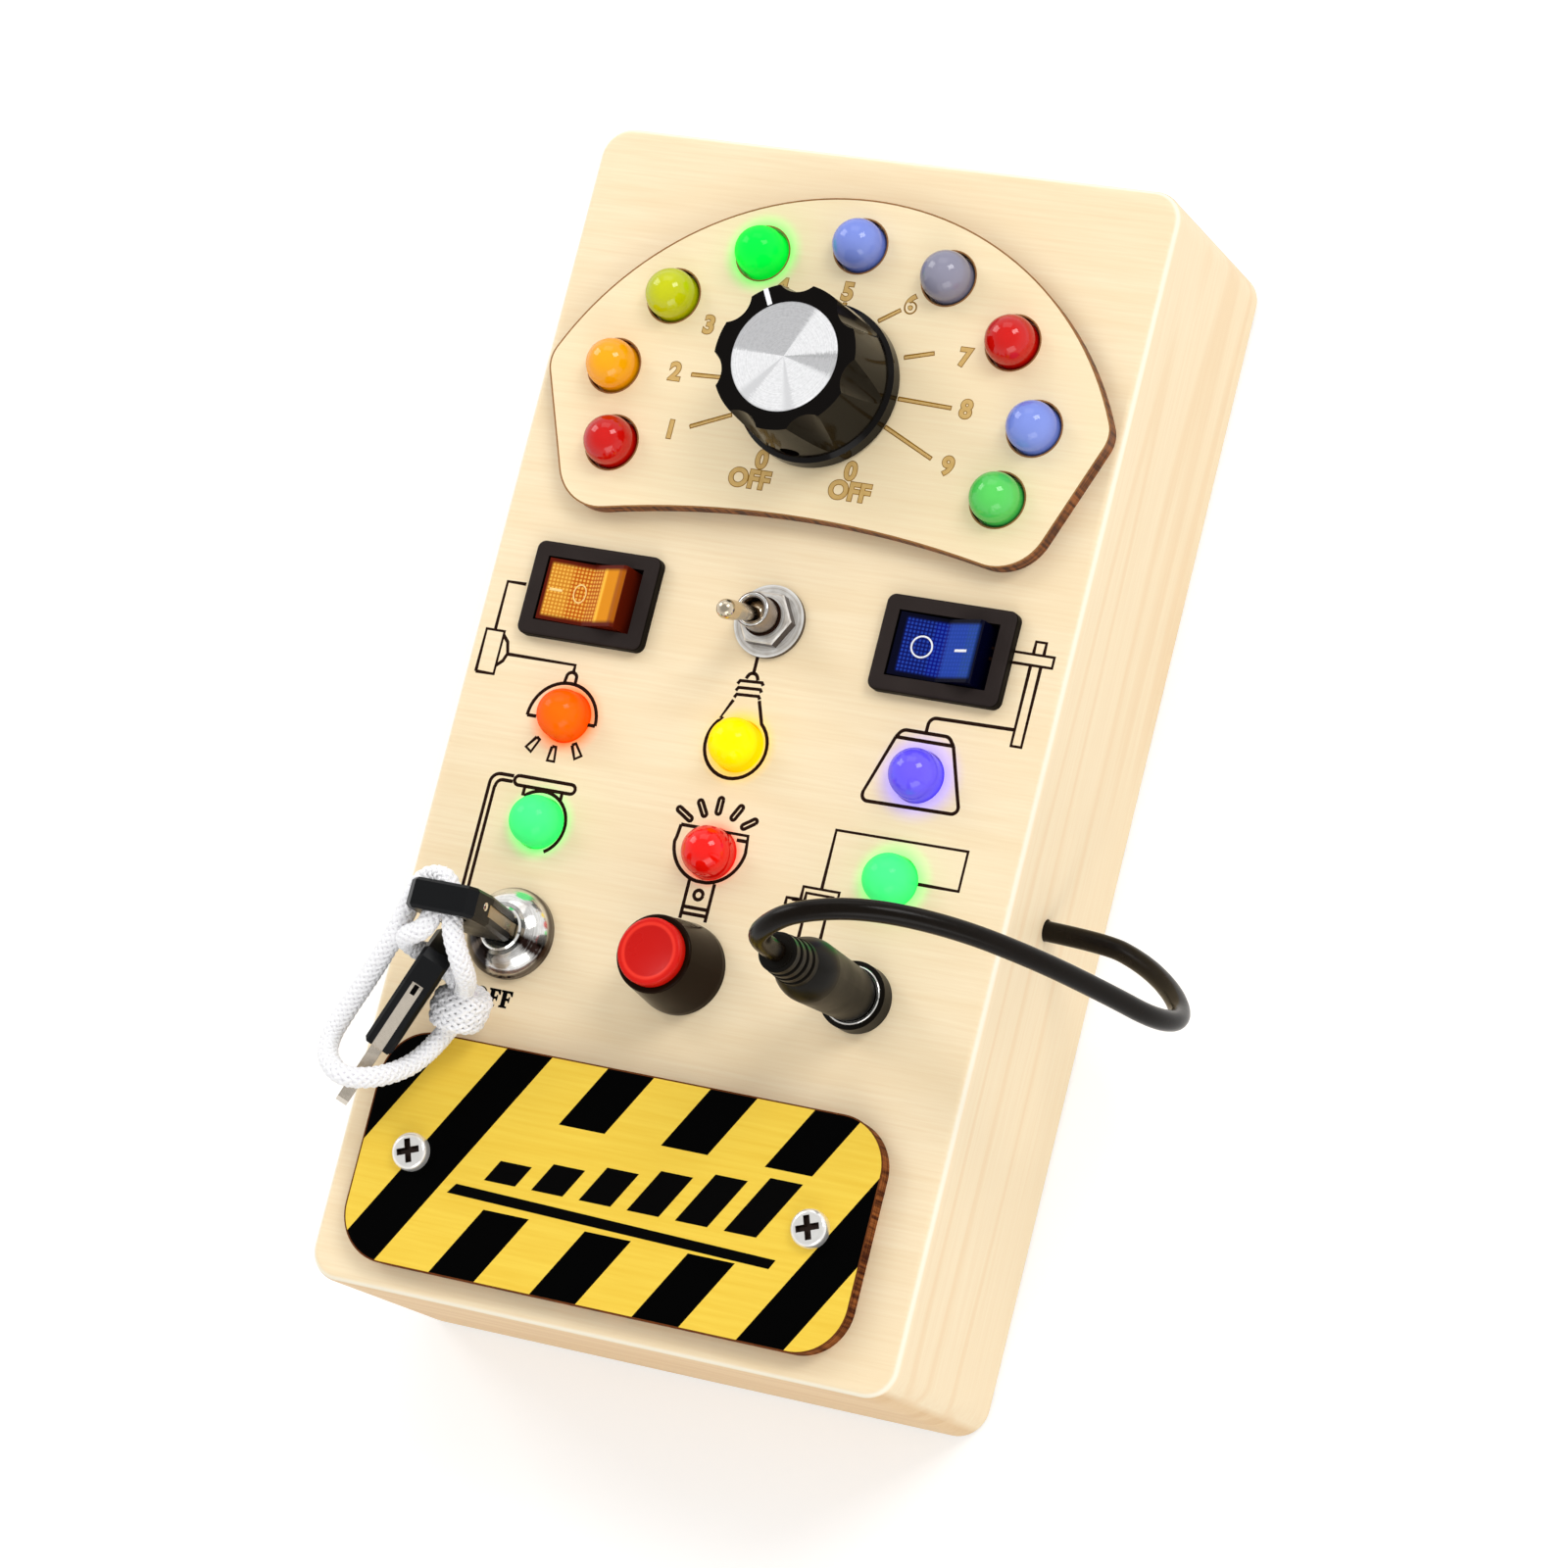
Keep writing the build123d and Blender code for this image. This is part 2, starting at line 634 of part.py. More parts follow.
def key_blade(plane):
    inset = 0.25
    full = key_bow_width / 2 - inset
    neck = key_neck_width / 2 - inset
    blade = blade_width / 2
    tip = rotor_face_z - face_z - blade_length
    right = [
        (blade - 1.2, tip),
        (blade, tip + 1.2),
        (blade, key_neck_z - 0.3),
        (neck, key_neck_z),
        (full, key_full_width_z),
        (full, tang_top_z - 0.02),
    ]
    left = [(-x, y) for x, y in reversed(right)]
    with BuildPart() as key:
        with BuildSketch(plane):
            Polygon(*(right + left), align=None)
        extrude(amount=blade_thickness / 2, both=True)
        # A milled groove along each side of the blade.
        for side in (-1, 1):
            with BuildSketch(plane.offset(side * blade_thickness / 2)):
                with Locations((0.6 * side, (tip + key_neck_z) / 2 - 0.5)):
                    Rectangle(1.1, key_neck_z - tip - 2)
            extrude(amount=-side * 0.5, mode=Mode.SUBTRACT)
    return key


key_plane = Plane(
    origin=(lock_center[0], lock_center[1], face_z), x_dir=(1, 0, 0), z_dir=(0, -1, 0)
)
write(key_bow(key_plane), "key_bow")
write(key_blade(key_plane), "key_blade")

# The spare key hangs on the cord, on edge, its blade pointing down and to the left.
spare_top = Vector(-32.2, -42.2, face_z + 15.8)
spare_tip = Vector(-46.8, -67.4, face_z + 7.9)
spare_axis = (spare_top - spare_tip).normalized()
spare_across = Vector(0.312, -0.435, 0.845)
spare_normal = spare_across.cross(spare_axis).normalized()
spare_plane = Plane(
    origin=spare_top - spare_axis * key_bow_end_z,
    x_dir=spare_axis.cross(spare_normal),
    z_dir=spare_normal,
)
write(key_bow(spare_plane), "spare_key_bow")
write(key_blade(spare_plane), "spare_key_blade")


# ---- cords and cable: straight runs joined by tangent arcs ----
def route_path(name, points):
    """The rounded path through the points, whose corner radii are as large as the runs allow."""
    vectors = [Vector(*point) for point in points]
    radii = []
    for before, corner, after in zip(vectors, vectors[1:], vectors[2:]):
        turn = math.radians((corner - before).get_angle(after - corner))
        shorter = min((corner - before).length, (after - corner).length)
        radii.append(0.45 * shorter / math.tan(turn / 2))
    print(name, "radii", [round(radius, 1) for radius in radii])
    print(name, "turns", [
        round((b - a).get_angle(c - b)) for a, b, c in zip(vectors, vectors[1:], vectors[2:])
    ])
    with BuildLine() as path:
        FilletPolyline(*vectors, radius=radii)
    print(name, "length", round(path.wires()[0].length, 2))
    return path


def cord_tube(name, points, diameter):
    path = route_path(name, points)
    with BuildPart() as tube:
        with BuildSketch(Plane(origin=path.line @ 0, z_dir=path.line % 0)):
            Circle(diameter / 2)
        sweep(path=path.line)
    ideal = math.pi * diameter**2 / 4 * path.wires()[0].length
    print(name, "volume", round(tube.part.volume, 1), "section times length", round(ideal, 1))
    return tube


# Heights in the routes are above the face, so each point is lifted by face_z.
def lifted(points):
    return [(x, y, face_z + z) for x, y, z in points]


knot_center = (-31.5, -50.1, face_z + 7.2)
knot_diameter = 8.8

# From the knot, over the spare key's blade, up the left side, round the bow and through its slot.
key_cord_route = lifted([
    (-32.6, -53.4, 7.0),
    (-35.2, -59.0, 7.4),
    (-38.4, -63.6, 12.6),
    (-43.2, -65.4, 16.4),
    (-47.9, -62.8, 14.3),
    (-49.8, -59.2, 11.8),
    (-48.0, -55.0, 12.4),
    (-43.8, -48.8, 16.4),
    (-40.4, -43.0, 20.0),
    (-38.9, -37.8, 22.2),
    (-37.2, -32.9, 23.0),
    (-33.4, -30.2, 23.1),
    (-29.3, -31.6, 22.9),
    (-28.2, -35.9, 22.8),
    (-28.1, -41.0, 22.7),
    (-26.9, -45.7, 21.5),
    (-26.9, -48.0, 16.5),
    (-28.9, -49.6, 11.2),
])
write(cord_tube("key_cord", key_cord_route, cord_diameter), "key_cord")

# From the bow through the spare key's lanyard hole to the knot.
spare_hole = spare_top - spare_axis * (key_bow_end_z - lanyard_z)
hole_in = spare_hole + spare_plane.z_dir * 4.6
hole_out = spare_hole - spare_plane.z_dir * 4.3
spare_cord_route = [
    (-31.7, -36.4, face_z + 22.8),
    (-31.8, -41.2, face_z + 22.8),
    (-36.6, -42.9, face_z + 21.2),
    tuple(hole_in),
    tuple(hole_out),
    (-31.9, -48.3, face_z + 9.0),
    (-31.6, -51.2, face_z + 5.3),
]
write(cord_tube("spare_key_cord", spare_cord_route, cord_diameter), "spare_key_cord")

with BuildPart() as cord_knot:
    with BuildSketch(Plane.XZ.offset(-knot_center[1])):
        with BuildLine():
            CenterArc((knot_center[0], knot_center[2]), knot_diameter / 2, -90, 180)
            Line(
                (knot_center[0], knot_center[2] - knot_diameter / 2),
                (knot_center[0], knot_center[2] + knot_diameter / 2),
            )
        make_face()
    revolve(axis=Axis(knot_center, (0, 0, 1)))
write(cord_knot, "cord_knot")

# ---- push button ----
with BuildPart() as button_housing:
    with BuildSketch(Plane.XZ.offset(-button_center[1])):
        with BuildLine():
            x = button_center[0]
            Polyline(
                (x, panel_back_z - 10),
                (x + lock_barrel_diameter / 2, panel_back_z - 10),
                (x + lock_barrel_diameter / 2, face_z),
                (x + collar_base_diameter / 2, face_z),
                (x + collar_base_diameter / 2, face_z + 1.2),
                (x + collar_top_diameter / 2, face_z + collar_height),
                (x, face_z + collar_height),
                close=True,
            )
        make_face()
    revolve(axis=Axis((button_center[0], button_center[1], 0), (0, 0, 1)))
    rim = button_housing.faces().sort_by(Axis.Z)[-1].edges()
    fillet(rim, 0.4)
    button_floor_z = panel_back_z - 8
    top_z = face_z + collar_height
    rod(button_center, button_bore_diameter, button_floor_z, top_z, Mode.SUBTRACT)
write(button_housing, "button_housing")

cap_low_z = face_z + 2.5
cap_top_z = face_z + collar_height + button_stand
with BuildPart() as button_cap:
    rod(button_center, button_cap_diameter, cap_low_z, cap_top_z)
    fillet(button_cap.faces().sort_by(Axis.Z)[-1].edges(), 0.5)
    # A shallow dish for the fingertip.
    dish_radius = 18
    with BuildSketch(Plane.XZ.offset(-button_center[1])):
        with BuildLine():
            x = button_center[0]
            dish_z = cap_top_z - 0.5 + dish_radius
            CenterArc((x, dish_z), dish_radius, -90, 90)
            Line((x + dish_radius, dish_z), (x, dish_z))
            Line((x, dish_z), (x, dish_z - dish_radius))
        make_face()
    revolve(axis=Axis((button_center[0], button_center[1], 0), (0, 0, 1)), mode=Mode.SUBTRACT)
    rod(button_center, 4, cap_low_z - 4, cap_low_z)
write(button_cap, "button_cap")

spring_wire = 0.7
spring_radius = 3.4
spring_turns = 6
spring_low_z = button_floor_z + spring_wire / 2
spring_rise = cap_low_z - spring_wire / 2 - spring_low_z
with BuildPart() as button_spring:
    with BuildLine(spot(button_center, spring_low_z)) as spring_path:
        Helix(spring_rise / spring_turns, spring_rise, spring_radius)
    with BuildSketch(Plane(spring_path.line @ 0, z_dir=spring_path.line % 0)):
        Circle(spring_wire / 2)
    sweep(path=spring_path.line, is_frenet=True)
write(button_spring, "button_spring")

# ---- supply jack and plug ----
jack_floor_z = panel_back_z - 9
jack_top_z = face_z + jack_flange_height
with BuildPart() as jack_body:
    rod(jack_center, jack_thread_diameter, jack_floor_z, face_z)
    rod(jack_center, jack_flange_diameter, face_z, jack_top_z)
    rod(jack_center, jack_bore_diameter, jack_floor_z + 2, jack_top_z, Mode.SUBTRACT)
    seat_z = jack_top_z - jack_ring_seat
    rod(jack_center, jack_ring_diameter + 0.1, seat_z, jack_top_z, Mode.SUBTRACT)
    rod(jack_center, jack_pin_diameter, jack_floor_z + 2, face_z - 1)
write(jack_body, "jack_body")

with BuildPart() as jack_ring:
    rod(jack_center, jack_ring_diameter, seat_z, jack_top_z + 0.2)
    rod(jack_center, jack_ring_bore, seat_z, jack_top_z + 0.2, Mode.SUBTRACT)
write(jack_ring, "jack_ring")

plug_base_z = jack_top_z + plug_gap
with BuildPart() as plug_body:
    with BuildSketch(Plane.XZ.offset(-jack_center[1])):
        with BuildLine():
            x = jack_center[0]
            neck = plug_neck_diameter / 2
            foot = plug_foot_diameter / 2
            foot_z = plug_base_z + plug_neck_height
            shoulder = (x + plug_diameter / 2, face_z + plug_shoulder_z)
            Polyline(
                (x, plug_base_z),
                (x + neck, plug_base_z),
                (x + neck, foot_z),
                (x + foot - 0.3, foot_z),
                (x + foot, foot_z + 0.3),
                shoulder,
            )
            relief_foot = (x + relief_radius, face_z + plug_relief_z)
            TangentArc(shoulder, relief_foot, tangent=(0, 1))
            rib_count = 4
            relief_length = plug_end_z - plug_relief_z
            pitch = relief_length / rib_count
            points = []
            for rib in range(rib_count):
                low = face_z + plug_relief_z + rib * pitch
                outer = relief_radius - 0.15 * rib
                points.append((x + outer, low))
                points.append((x + outer, low + 0.62 * pitch))
                points.append((x + outer - relief_groove, low + 0.7 * pitch))
                points.append((x + outer - relief_groove, low + 0.95 * pitch))
            points.append((x + 2.5, face_z + plug_end_z))
            points.append((x, face_z + plug_end_z))
            Polyline(*points, (x, plug_base_z))
        make_face()
    revolve(axis=Axis((jack_center[0], jack_center[1], 0), (0, 0, 1)))
    rod(jack_center, sleeve_diameter + 0.02, plug_base_z, plug_base_z + 4, Mode.SUBTRACT)
write(plug_body, "plug_body")

with BuildPart() as plug_sleeve:
    sleeve_low_z = jack_floor_z + 2.6
    rod(jack_center, sleeve_diameter, sleeve_low_z, plug_base_z + 4)
    rod(jack_center, jack_pin_diameter + 0.16, sleeve_low_z, plug_base_z + 2, Mode.SUBTRACT)
write(plug_sleeve, "plug_sleeve")

# The cable leaves the plug upwards, bends over to the right, drops past the board's edge and
# turns back into the hole in the right rail.
cable_route = [(jack_center[0], jack_center[1], face_z + plug_end_z)] + lifted([
    (29.6, -36.5, 39.4),
    (31.6, -35.4, 44.4),
    (37.2, -32.4, 47.0),
    (47.2, -29.8, 45.0),
    (58.0, -29.1, 37.6),
    (67.4, -30.0, 27.6),
    (74.3, -31.2, 16.2),
    (78.8, -32.2, 5.8),
    (79.4, -30.3, -3.2),
    (74.8, -25.6, -9.6),
    (67.4, -21.2, -14.0),
    (59.0, -18.6, -15.6),
    (half_width - rail_thickness - 3.0, -18.6, -15.6),
])
write(cord_tube("cable", cable_route, cable_diameter), "cable")

# ---- nuts of the rotary switch on the dial plate, and of lock, button and jack behind the panel ----
with BuildPart() as panel_nuts:
    hexagon(dial_center, 12, plate_top_z, plate_top_z + 2)
    rod(dial_center, bushing_diameter + 0.06, plate_top_z, plate_top_z + 2, Mode.SUBTRACT)
    for center, thread, flats in (
        (lock_center, lock_barrel_diameter, 15),
        (button_center, lock_barrel_diameter, 15),
        (jack_center, jack_thread_diameter, 11),
    ):
        hexagon(center, flats, panel_back_z - 2.5, panel_back_z)
        rod(center, thread + 0.06, panel_back_z - 2.5, panel_back_z, Mode.SUBTRACT)
write(panel_nuts, "panel_nuts")

# ---- solder tags of the rockers, toggle, lock, button and jack ----
tag = (0.8, 4)
with BuildPart() as switch_terminals:
    rocker_floor_z = face_z - rocker_depth
    for center in (left_rocker, right_rocker):
        for x in (-6, 0, 6):
            place = (center[0] + x, center[1])
            block(place, tag, rocker_floor_z - 7, rocker_floor_z)
    for y in (-4.7, 0, 4.7):
        place = (toggle_center[0], toggle_center[1] + y)
        block(place, (2, 0.8), toggle_floor_z - 4, toggle_floor_z)
    for center, floor_z in (
        (lock_center, lock_floor_z),
        (button_center, panel_back_z - 10),
        (jack_center, jack_floor_z),
    ):
        for x in (-2, 2):
            block((center[0] + x, center[1]), (0.6, 2), floor_z - 4, floor_z)
write(switch_terminals, "switch_terminals")

# ---- power plate with its two pan-head screws ----
with BuildPart() as power_plate:
    block(power_plate_center, power_plate_size, face_z, plate_top_z, power_plate_corner)
    for place in power_screws:
        rod(place, pan_shank_diameter + 2 * running_gap, face_z, plate_top_z, Mode.SUBTRACT)
write(power_plate, "power_plate")

with BuildPart() as power_plate_screws:
    for place in power_screws:
        rod(place, pan_shank_diameter, panel_back_z + 0.5, plate_top_z)
        rod(place, pan_head_diameter, plate_top_z, plate_top_z + pan_head_height)
    head_edges = power_plate_screws.faces().group_by(Axis.Z)[-1].edges()
    fillet(head_edges, 0.9)
    for place in power_screws:
        for angle in (20, 110):
            with BuildSketch(spot(place, plate_top_z + pan_head_height).rotated((0, 0, angle))):
                Rectangle(*pan_recess)
            extrude(amount=-0.9, taper=8, mode=Mode.SUBTRACT)
write(power_plate_screws, "power_plate_screws")

# ---- battery box on the cover, open to the back, with its door ----
box_top_z = cover_thickness + battery_box_depth
with BuildPart() as battery_box:
    block(battery_box_center, battery_box_size, cover_thickness, box_top_z, 2)
    inside = tuple(size - 2 * battery_box_wall for size in battery_box_size)
    top = box_top_z - battery_box_wall
    block(battery_box_center, inside, cover_thickness, top, 1, Mode.SUBTRACT)
write(battery_box, "battery_box")

battery_z = cover_thickness + 7
with BuildPart() as batteries:
    for row in (-1, 0, 1):
        y = battery_box_center[1] + row * battery_pitch
        side = -1 if row else 1
        start = battery_box_center[0] - side * battery_length / 2
        with BuildSketch(Plane(origin=(start, y, battery_z), z_dir=(side, 0, 0))):
            Circle(battery_diameter / 2)
        extrude(amount=battery_length)
        end = start + side * battery_length
        with BuildSketch(Plane(origin=(end, y, battery_z), z_dir=(side, 0, 0))):
            Circle(1.9)
        extrude(amount=1)
write(batteries, "batteries")

contact_thickness = 0.4
with BuildPart() as battery_contacts:
    inner_half = battery_box_size[0] / 2 - battery_box_wall
    for row in (-1, 0, 1):
        y = battery_box_center[1] + row * battery_pitch
        for side in (-1, 1):
            x = battery_box_center[0] + side * inner_half
            with BuildSketch(Plane(origin=(x, y, battery_z), z_dir=(-side, 0, 0))):
                Rectangle(9, 9)
            extrude(amount=contact_thickness)
            spring_end = side == (1 if row else -1)
            depth = inner_half - battery_length / 2 - contact_thickness
            with BuildSketch(Plane(origin=(x, y, battery_z), z_dir=(-side, 0, 0))):
                Circle(3.2 if spring_end else 2)
            extrude(amount=contact_thickness + depth - (0.02 if spring_end else 1.02))
write(battery_contacts, "battery_contacts")

with BuildPart() as battery_door:
    block(battery_box_center, door_size, 0.1, 2.4, 1.7)
    block((door_screw[0], door_screw[1] - 1.5), door_tab, 0.1, 1.3)
    rod(door_screw, 4.6, 0.1, 1.0, Mode.SUBTRACT)
    rod(door_screw, 2.5, 0.1, 1.3, Mode.SUBTRACT)
    for step in range(5):
        groove = (battery_box_center[0], battery_box_center[1] - 12 + step * 2)
        block(groove, (16, 0.8), 0.1, 0.5, mode=Mode.SUBTRACT)
write(battery_door, "battery_door")

# ---- circuit board with its resistors, glued to the cover ----
board_center = (0, 8)
board_size = (56, 30)
with BuildPart() as circuit_board:
    block(board_center, board_size, cover_thickness + 3, cover_thickness + 4.6)
    for x in (-24, 24):
        for y in (-11, 11):
            place = (board_center[0] + x, board_center[1] + y)
            rod(place, 4, cover_thickness, cover_thickness + 3)
    for step in range(6):
        place = (board_center[0] - 20 + step * 8, board_center[1])
        block(place, (2.4, 6.4), cover_thickness + 4.6, cover_thickness + 7)
write(circuit_board, "circuit_board")

# ---- the two wires from the battery box to the circuit board ----
with BuildPart() as battery_wires:
    for x in (-6, 6):
        wire = route_path("battery_wire", [
            (x, battery_box_center[1] + battery_box_size[1] / 2, 10),
            (x, -41, 10),
            (x + 1.5, -30, 8.6),
            (x + 1.2, -18, 8.2),
            (x, board_center[1] - board_size[1] / 2 - 0.05, 6.8),
        ])
        with BuildSketch(Plane(origin=wire.line @ 0, z_dir=wire.line % 0)):
            Circle(0.7)
        sweep(path=wire.line)
write(battery_wires, "battery_wires")
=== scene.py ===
import bpy
import math
from mathutils import Matrix, Quaternion, Vector


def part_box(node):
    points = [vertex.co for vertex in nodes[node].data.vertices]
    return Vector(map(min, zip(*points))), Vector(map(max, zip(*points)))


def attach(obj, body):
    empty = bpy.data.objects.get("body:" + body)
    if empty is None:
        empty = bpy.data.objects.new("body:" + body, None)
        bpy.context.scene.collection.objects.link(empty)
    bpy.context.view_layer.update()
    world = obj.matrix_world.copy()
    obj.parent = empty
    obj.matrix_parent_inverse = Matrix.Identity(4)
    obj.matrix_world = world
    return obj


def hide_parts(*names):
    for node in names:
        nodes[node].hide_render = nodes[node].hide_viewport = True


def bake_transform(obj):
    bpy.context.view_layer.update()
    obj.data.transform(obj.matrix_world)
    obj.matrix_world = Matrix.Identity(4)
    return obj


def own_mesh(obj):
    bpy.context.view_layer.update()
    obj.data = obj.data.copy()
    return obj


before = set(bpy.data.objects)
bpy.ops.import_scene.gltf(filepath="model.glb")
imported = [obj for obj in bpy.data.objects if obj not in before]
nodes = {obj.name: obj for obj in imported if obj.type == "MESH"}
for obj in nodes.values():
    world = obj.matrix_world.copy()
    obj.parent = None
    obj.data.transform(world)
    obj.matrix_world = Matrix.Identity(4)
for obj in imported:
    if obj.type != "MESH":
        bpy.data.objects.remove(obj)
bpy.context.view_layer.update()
mm = 0.001
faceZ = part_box("front_panel")[1].z  # the wooden face
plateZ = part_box("dial_plate")[1].z  # top of the dial plate and of the power plate
bpy.context.scene.view_settings.view_transform = "Standard"
print("frame:", len(nodes), "nodes")


def newObject(name, data):
    piece = bpy.data.objects.new(name, data)
    bpy.context.scene.collection.objects.link(piece)
    return piece


cameraPlan = {
    "place": (0.3653, -0.1441, 0.7971),
    "aim": (0.0088, -0.0061, 0.0400),
    "roll": -56.76,  # degrees about the line of sight
    "lens": 127.9,
}


def placeCamera(plan):
    cameraData = bpy.data.cameras.new("camera")
    cameraData.lens = plan["lens"]
    camera = newObject("camera", cameraData)
    sight = Vector(plan["aim"]) - Vector(plan["place"])
    roll = Quaternion((0, 0, 1), math.radians(plan["roll"]))
    camera.location = plan["place"]
    camera.rotation_mode = "QUATERNION"
    camera.rotation_quaternion = sight.to_track_quat("-Z", "Y") @ roll
    bpy.context.scene.camera = camera


placeCamera(cameraPlan)


# Colours are written as on screen and turned into the linear values that the nodes hold.
def colour(code):
    parts = [int(code[i : i + 2], 16) / 255 for i in (0, 2, 4)]
    linear = [p / 12.92 if p <= 0.04045 else ((p + 0.055) / 1.055) ** 2.4 for p in parts]
    return (*linear, 1.0)


def socketsOf(material):
    return material.node_tree.nodes["Principled BSDF"].inputs


def newMaterial(name, sockets):
    material = bpy.data.materials.new(name)
    material.use_nodes = True
    for socket, value in sockets.items():
        socketsOf(material)[socket].default_value = value
    return material


def addNode(material, kind, inputs=None, **settings):
    node = material.node_tree.nodes.new("ShaderNode" + kind)
    for key, value in settings.items():
        setattr(node, key, value)
    for key, value in (inputs or {}).items():
        if isinstance(value, bpy.types.NodeSocket):
            material.node_tree.links.new(value, node.inputs[key])
        else:
            node.inputs[key].default_value = value
    return node


def feed(material, socket, value):
    material.node_tree.links.new(value, socketsOf(material)[socket])


def tintOf(material):  # what feeds the material's colour so far
    return socketsOf(material)["Base Color"].links[0].from_socket


def blendColours(material, amount, first, second):
    tones = [colour(tone) if isinstance(tone, str) else tone for tone in (first, second)]
    inputs = {0: amount, 6: tones[0], 7: tones[1]}
    return addNode(material, "Mix", inputs, data_type="RGBA").outputs[2]


def placeOf(material):
    return addNode(material, "TexCoord").outputs["Object"]


def stretched(material, scale, turn=(0, 0, 0)):
    inputs = {"Vector": placeOf(material), "Scale": scale, "Rotation": turn}
    return addNode(material, "Mapping", inputs).outputs["Vector"]


def noise(material, vector, scale, detail=3, roughness=0.5):
    inputs = {"Vector": vector, "Scale": scale, "Detail": detail, "Roughness": roughness}
    return addNode(material, "TexNoise", inputs).outputs["Fac"]


def spread(material, value, low, high, toLow=0.0, toHigh=1.0, curve="LINEAR"):
    inputs = {"Value": value, "From Min": low, "From Max": high, "To Min": toLow, "To Max": toHigh}
    return addNode(material, "MapRange", inputs, interpolation_type=curve).outputs[0]


def maths(material, operation, first, second=0.0):
    return addNode(material, "Math", {0: first, 1: second}, operation=operation).outputs[0]


def product(material, *factors):
    total = factors[0]
    for factor in factors[1:]:
        total = maths(material, "MULTIPLY", total, factor)
    return total


# One between two places along a value, with soft ends.
def between(material, value, rise, fall):
    rising = spread(material, value, *rise)
    return product(material, rising, spread(material, value, *fall, 1.0, 0.0))


def speck(material, scale, detail=3):
    return noise(material, placeOf(material), scale, detail)


def partsOf(material, vector):
    return addNode(material, "SeparateXYZ", {0: vector}).outputs


def normalParts(material):
    return partsOf(material, addNode(material, "NewGeometry").outputs["Normal"])


def distanceFrom(material, place, vector=None):
    inputs = {0: vector or placeOf(material), 1: place}
    return addNode(material, "VectorMath", inputs, operation="DISTANCE").outputs["Value"]


def addBump(material, height, strength, distance):
    inputs = {"Height": height, "Strength": strength, "Distance": distance * mm}
    feed(material, "Normal", addNode(material, "Bump", inputs).outputs["Normal"])


def dress(material, *names):
    for name in names:
        mesh = nodes[name].data
        mesh.materials.clear()
        mesh.materials.append(material)


def pick(*pieces):
    bpy.ops.object.select_all(action="DESELECT")
    for piece in pieces:
        piece.select_set(True)
    if pieces:
        bpy.context.view_layer.objects.active = pieces[0]


def editAll():
    bpy.ops.object.mode_set(mode="EDIT")
    bpy.ops.mesh.select_all(action="SELECT")


def leaveEdit():
    bpy.ops.object.mode_set(mode="OBJECT")


def applyPlace():
    bpy.ops.object.transform_apply(location=True, rotation=True, scale=True)


def settle(piece, z, flat=1.0):  # flattened first, then raised to its height
    piece.scale.z = flat
    piece.location.z = z
    applyPlace()


def newCurve(name, width, rounds=1):
    curve = bpy.data.curves.new(name, "CURVE")
    curve.dimensions = "3D"
    curve.bevel_depth = width / 2 * mm
    curve.bevel_resolution = rounds
    return curve


def weld(piece):
    pick(piece)
    editAll()
    bpy.ops.mesh.remove_doubles(threshold=0.001 * mm)
    leaveEdit()


def addLine(curve, places, closed=False):
    spline = curve.splines.new("POLY")
    spline.points.add(len(places) - 1)
    spline.use_cyclic_u = closed
    for point, place in zip(spline.points, places):
        point.co = (*place, 1)


# Cords and the cable: one smooth spline each, close to the lines of the solids.  Points are in
# millimetres, with their height above the wooden face.
def routeLine(name, points, diameter=0.0):
    curve = newCurve(name, diameter, 8)
    curve.resolution_u = 24
    spline = curve.splines.new("NURBS")
    spline.points.add(len(points) - 1)
    for knot, point in zip(spline.points, points):
        knot.co = (point[0] * mm, point[1] * mm, point[2] * mm + faceZ, 1)
    spline.order_u = 3
    spline.use_endpoint_u = True
    curve.use_fill_caps = True
    return newObject(name, curve)


def linePoints(name, points):
    line = routeLine(name + "_line", points)
    mesh = bpy.data.meshes.new_from_object(line)
    places = [vertex.co.copy() for vertex in mesh.vertices]
    bpy.data.objects.remove(line)
    bpy.data.meshes.remove(mesh)
    return places


def asMesh(piece):
    pick(piece)
    bpy.ops.object.convert(target="MESH")
    return bpy.context.object


def joinPieces(pieces, name):
    pick(*pieces)
    bpy.ops.object.join()
    piece = bpy.context.object
    piece.name = name
    applyPlace()
    return piece


def finishPiece(piece, name, body, material, replaced=()):
    piece.name = name
    if material:
        piece.data.materials.clear()
        piece.data.materials.append(material)
    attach(piece, body)
    if replaced:
        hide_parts(*replaced)
    return piece


# Lines that wind round a path both ways, over and under each other.
def braid(name, path, plan):
    curve = newCurve(name, plan["strand"])
    steep = abs((path[1] - path[0]).normalized().z) > 0.9
    side = Vector((1, 0, 0)) if steep else Vector((0, 0, 1))
    frames = []
    travel = 0.0
    for index, place in enumerate(path):
        after = path[min(index + 1, len(path) - 1)]
        before = path[max(index - 1, 0)]
        along = (after - before).normalized()
        side = (side - along * side.dot(along)).normalized()
        frames.append((place, side, along.cross(side), travel))
        travel += (after - place).length
    turn = 2 * math.pi / (plan["pitch"] * mm)
    for strand in range(plan["strands"]):
        for way in (1, -1):
            places = []
            for place, first, second, distance in frames:
                angle = 2 * math.pi * strand / plan["strands"] + way * turn * distance
                wave = math.cos(plan["strands"] * turn * distance)
                radius = (plan["radius"] + way * plan["weave"] * wave) * mm
                places.append(place + (first * math.cos(angle) + second * math.sin(angle)) * radius)
            addLine(curve, places)
    return asMesh(newObject(name, curve))


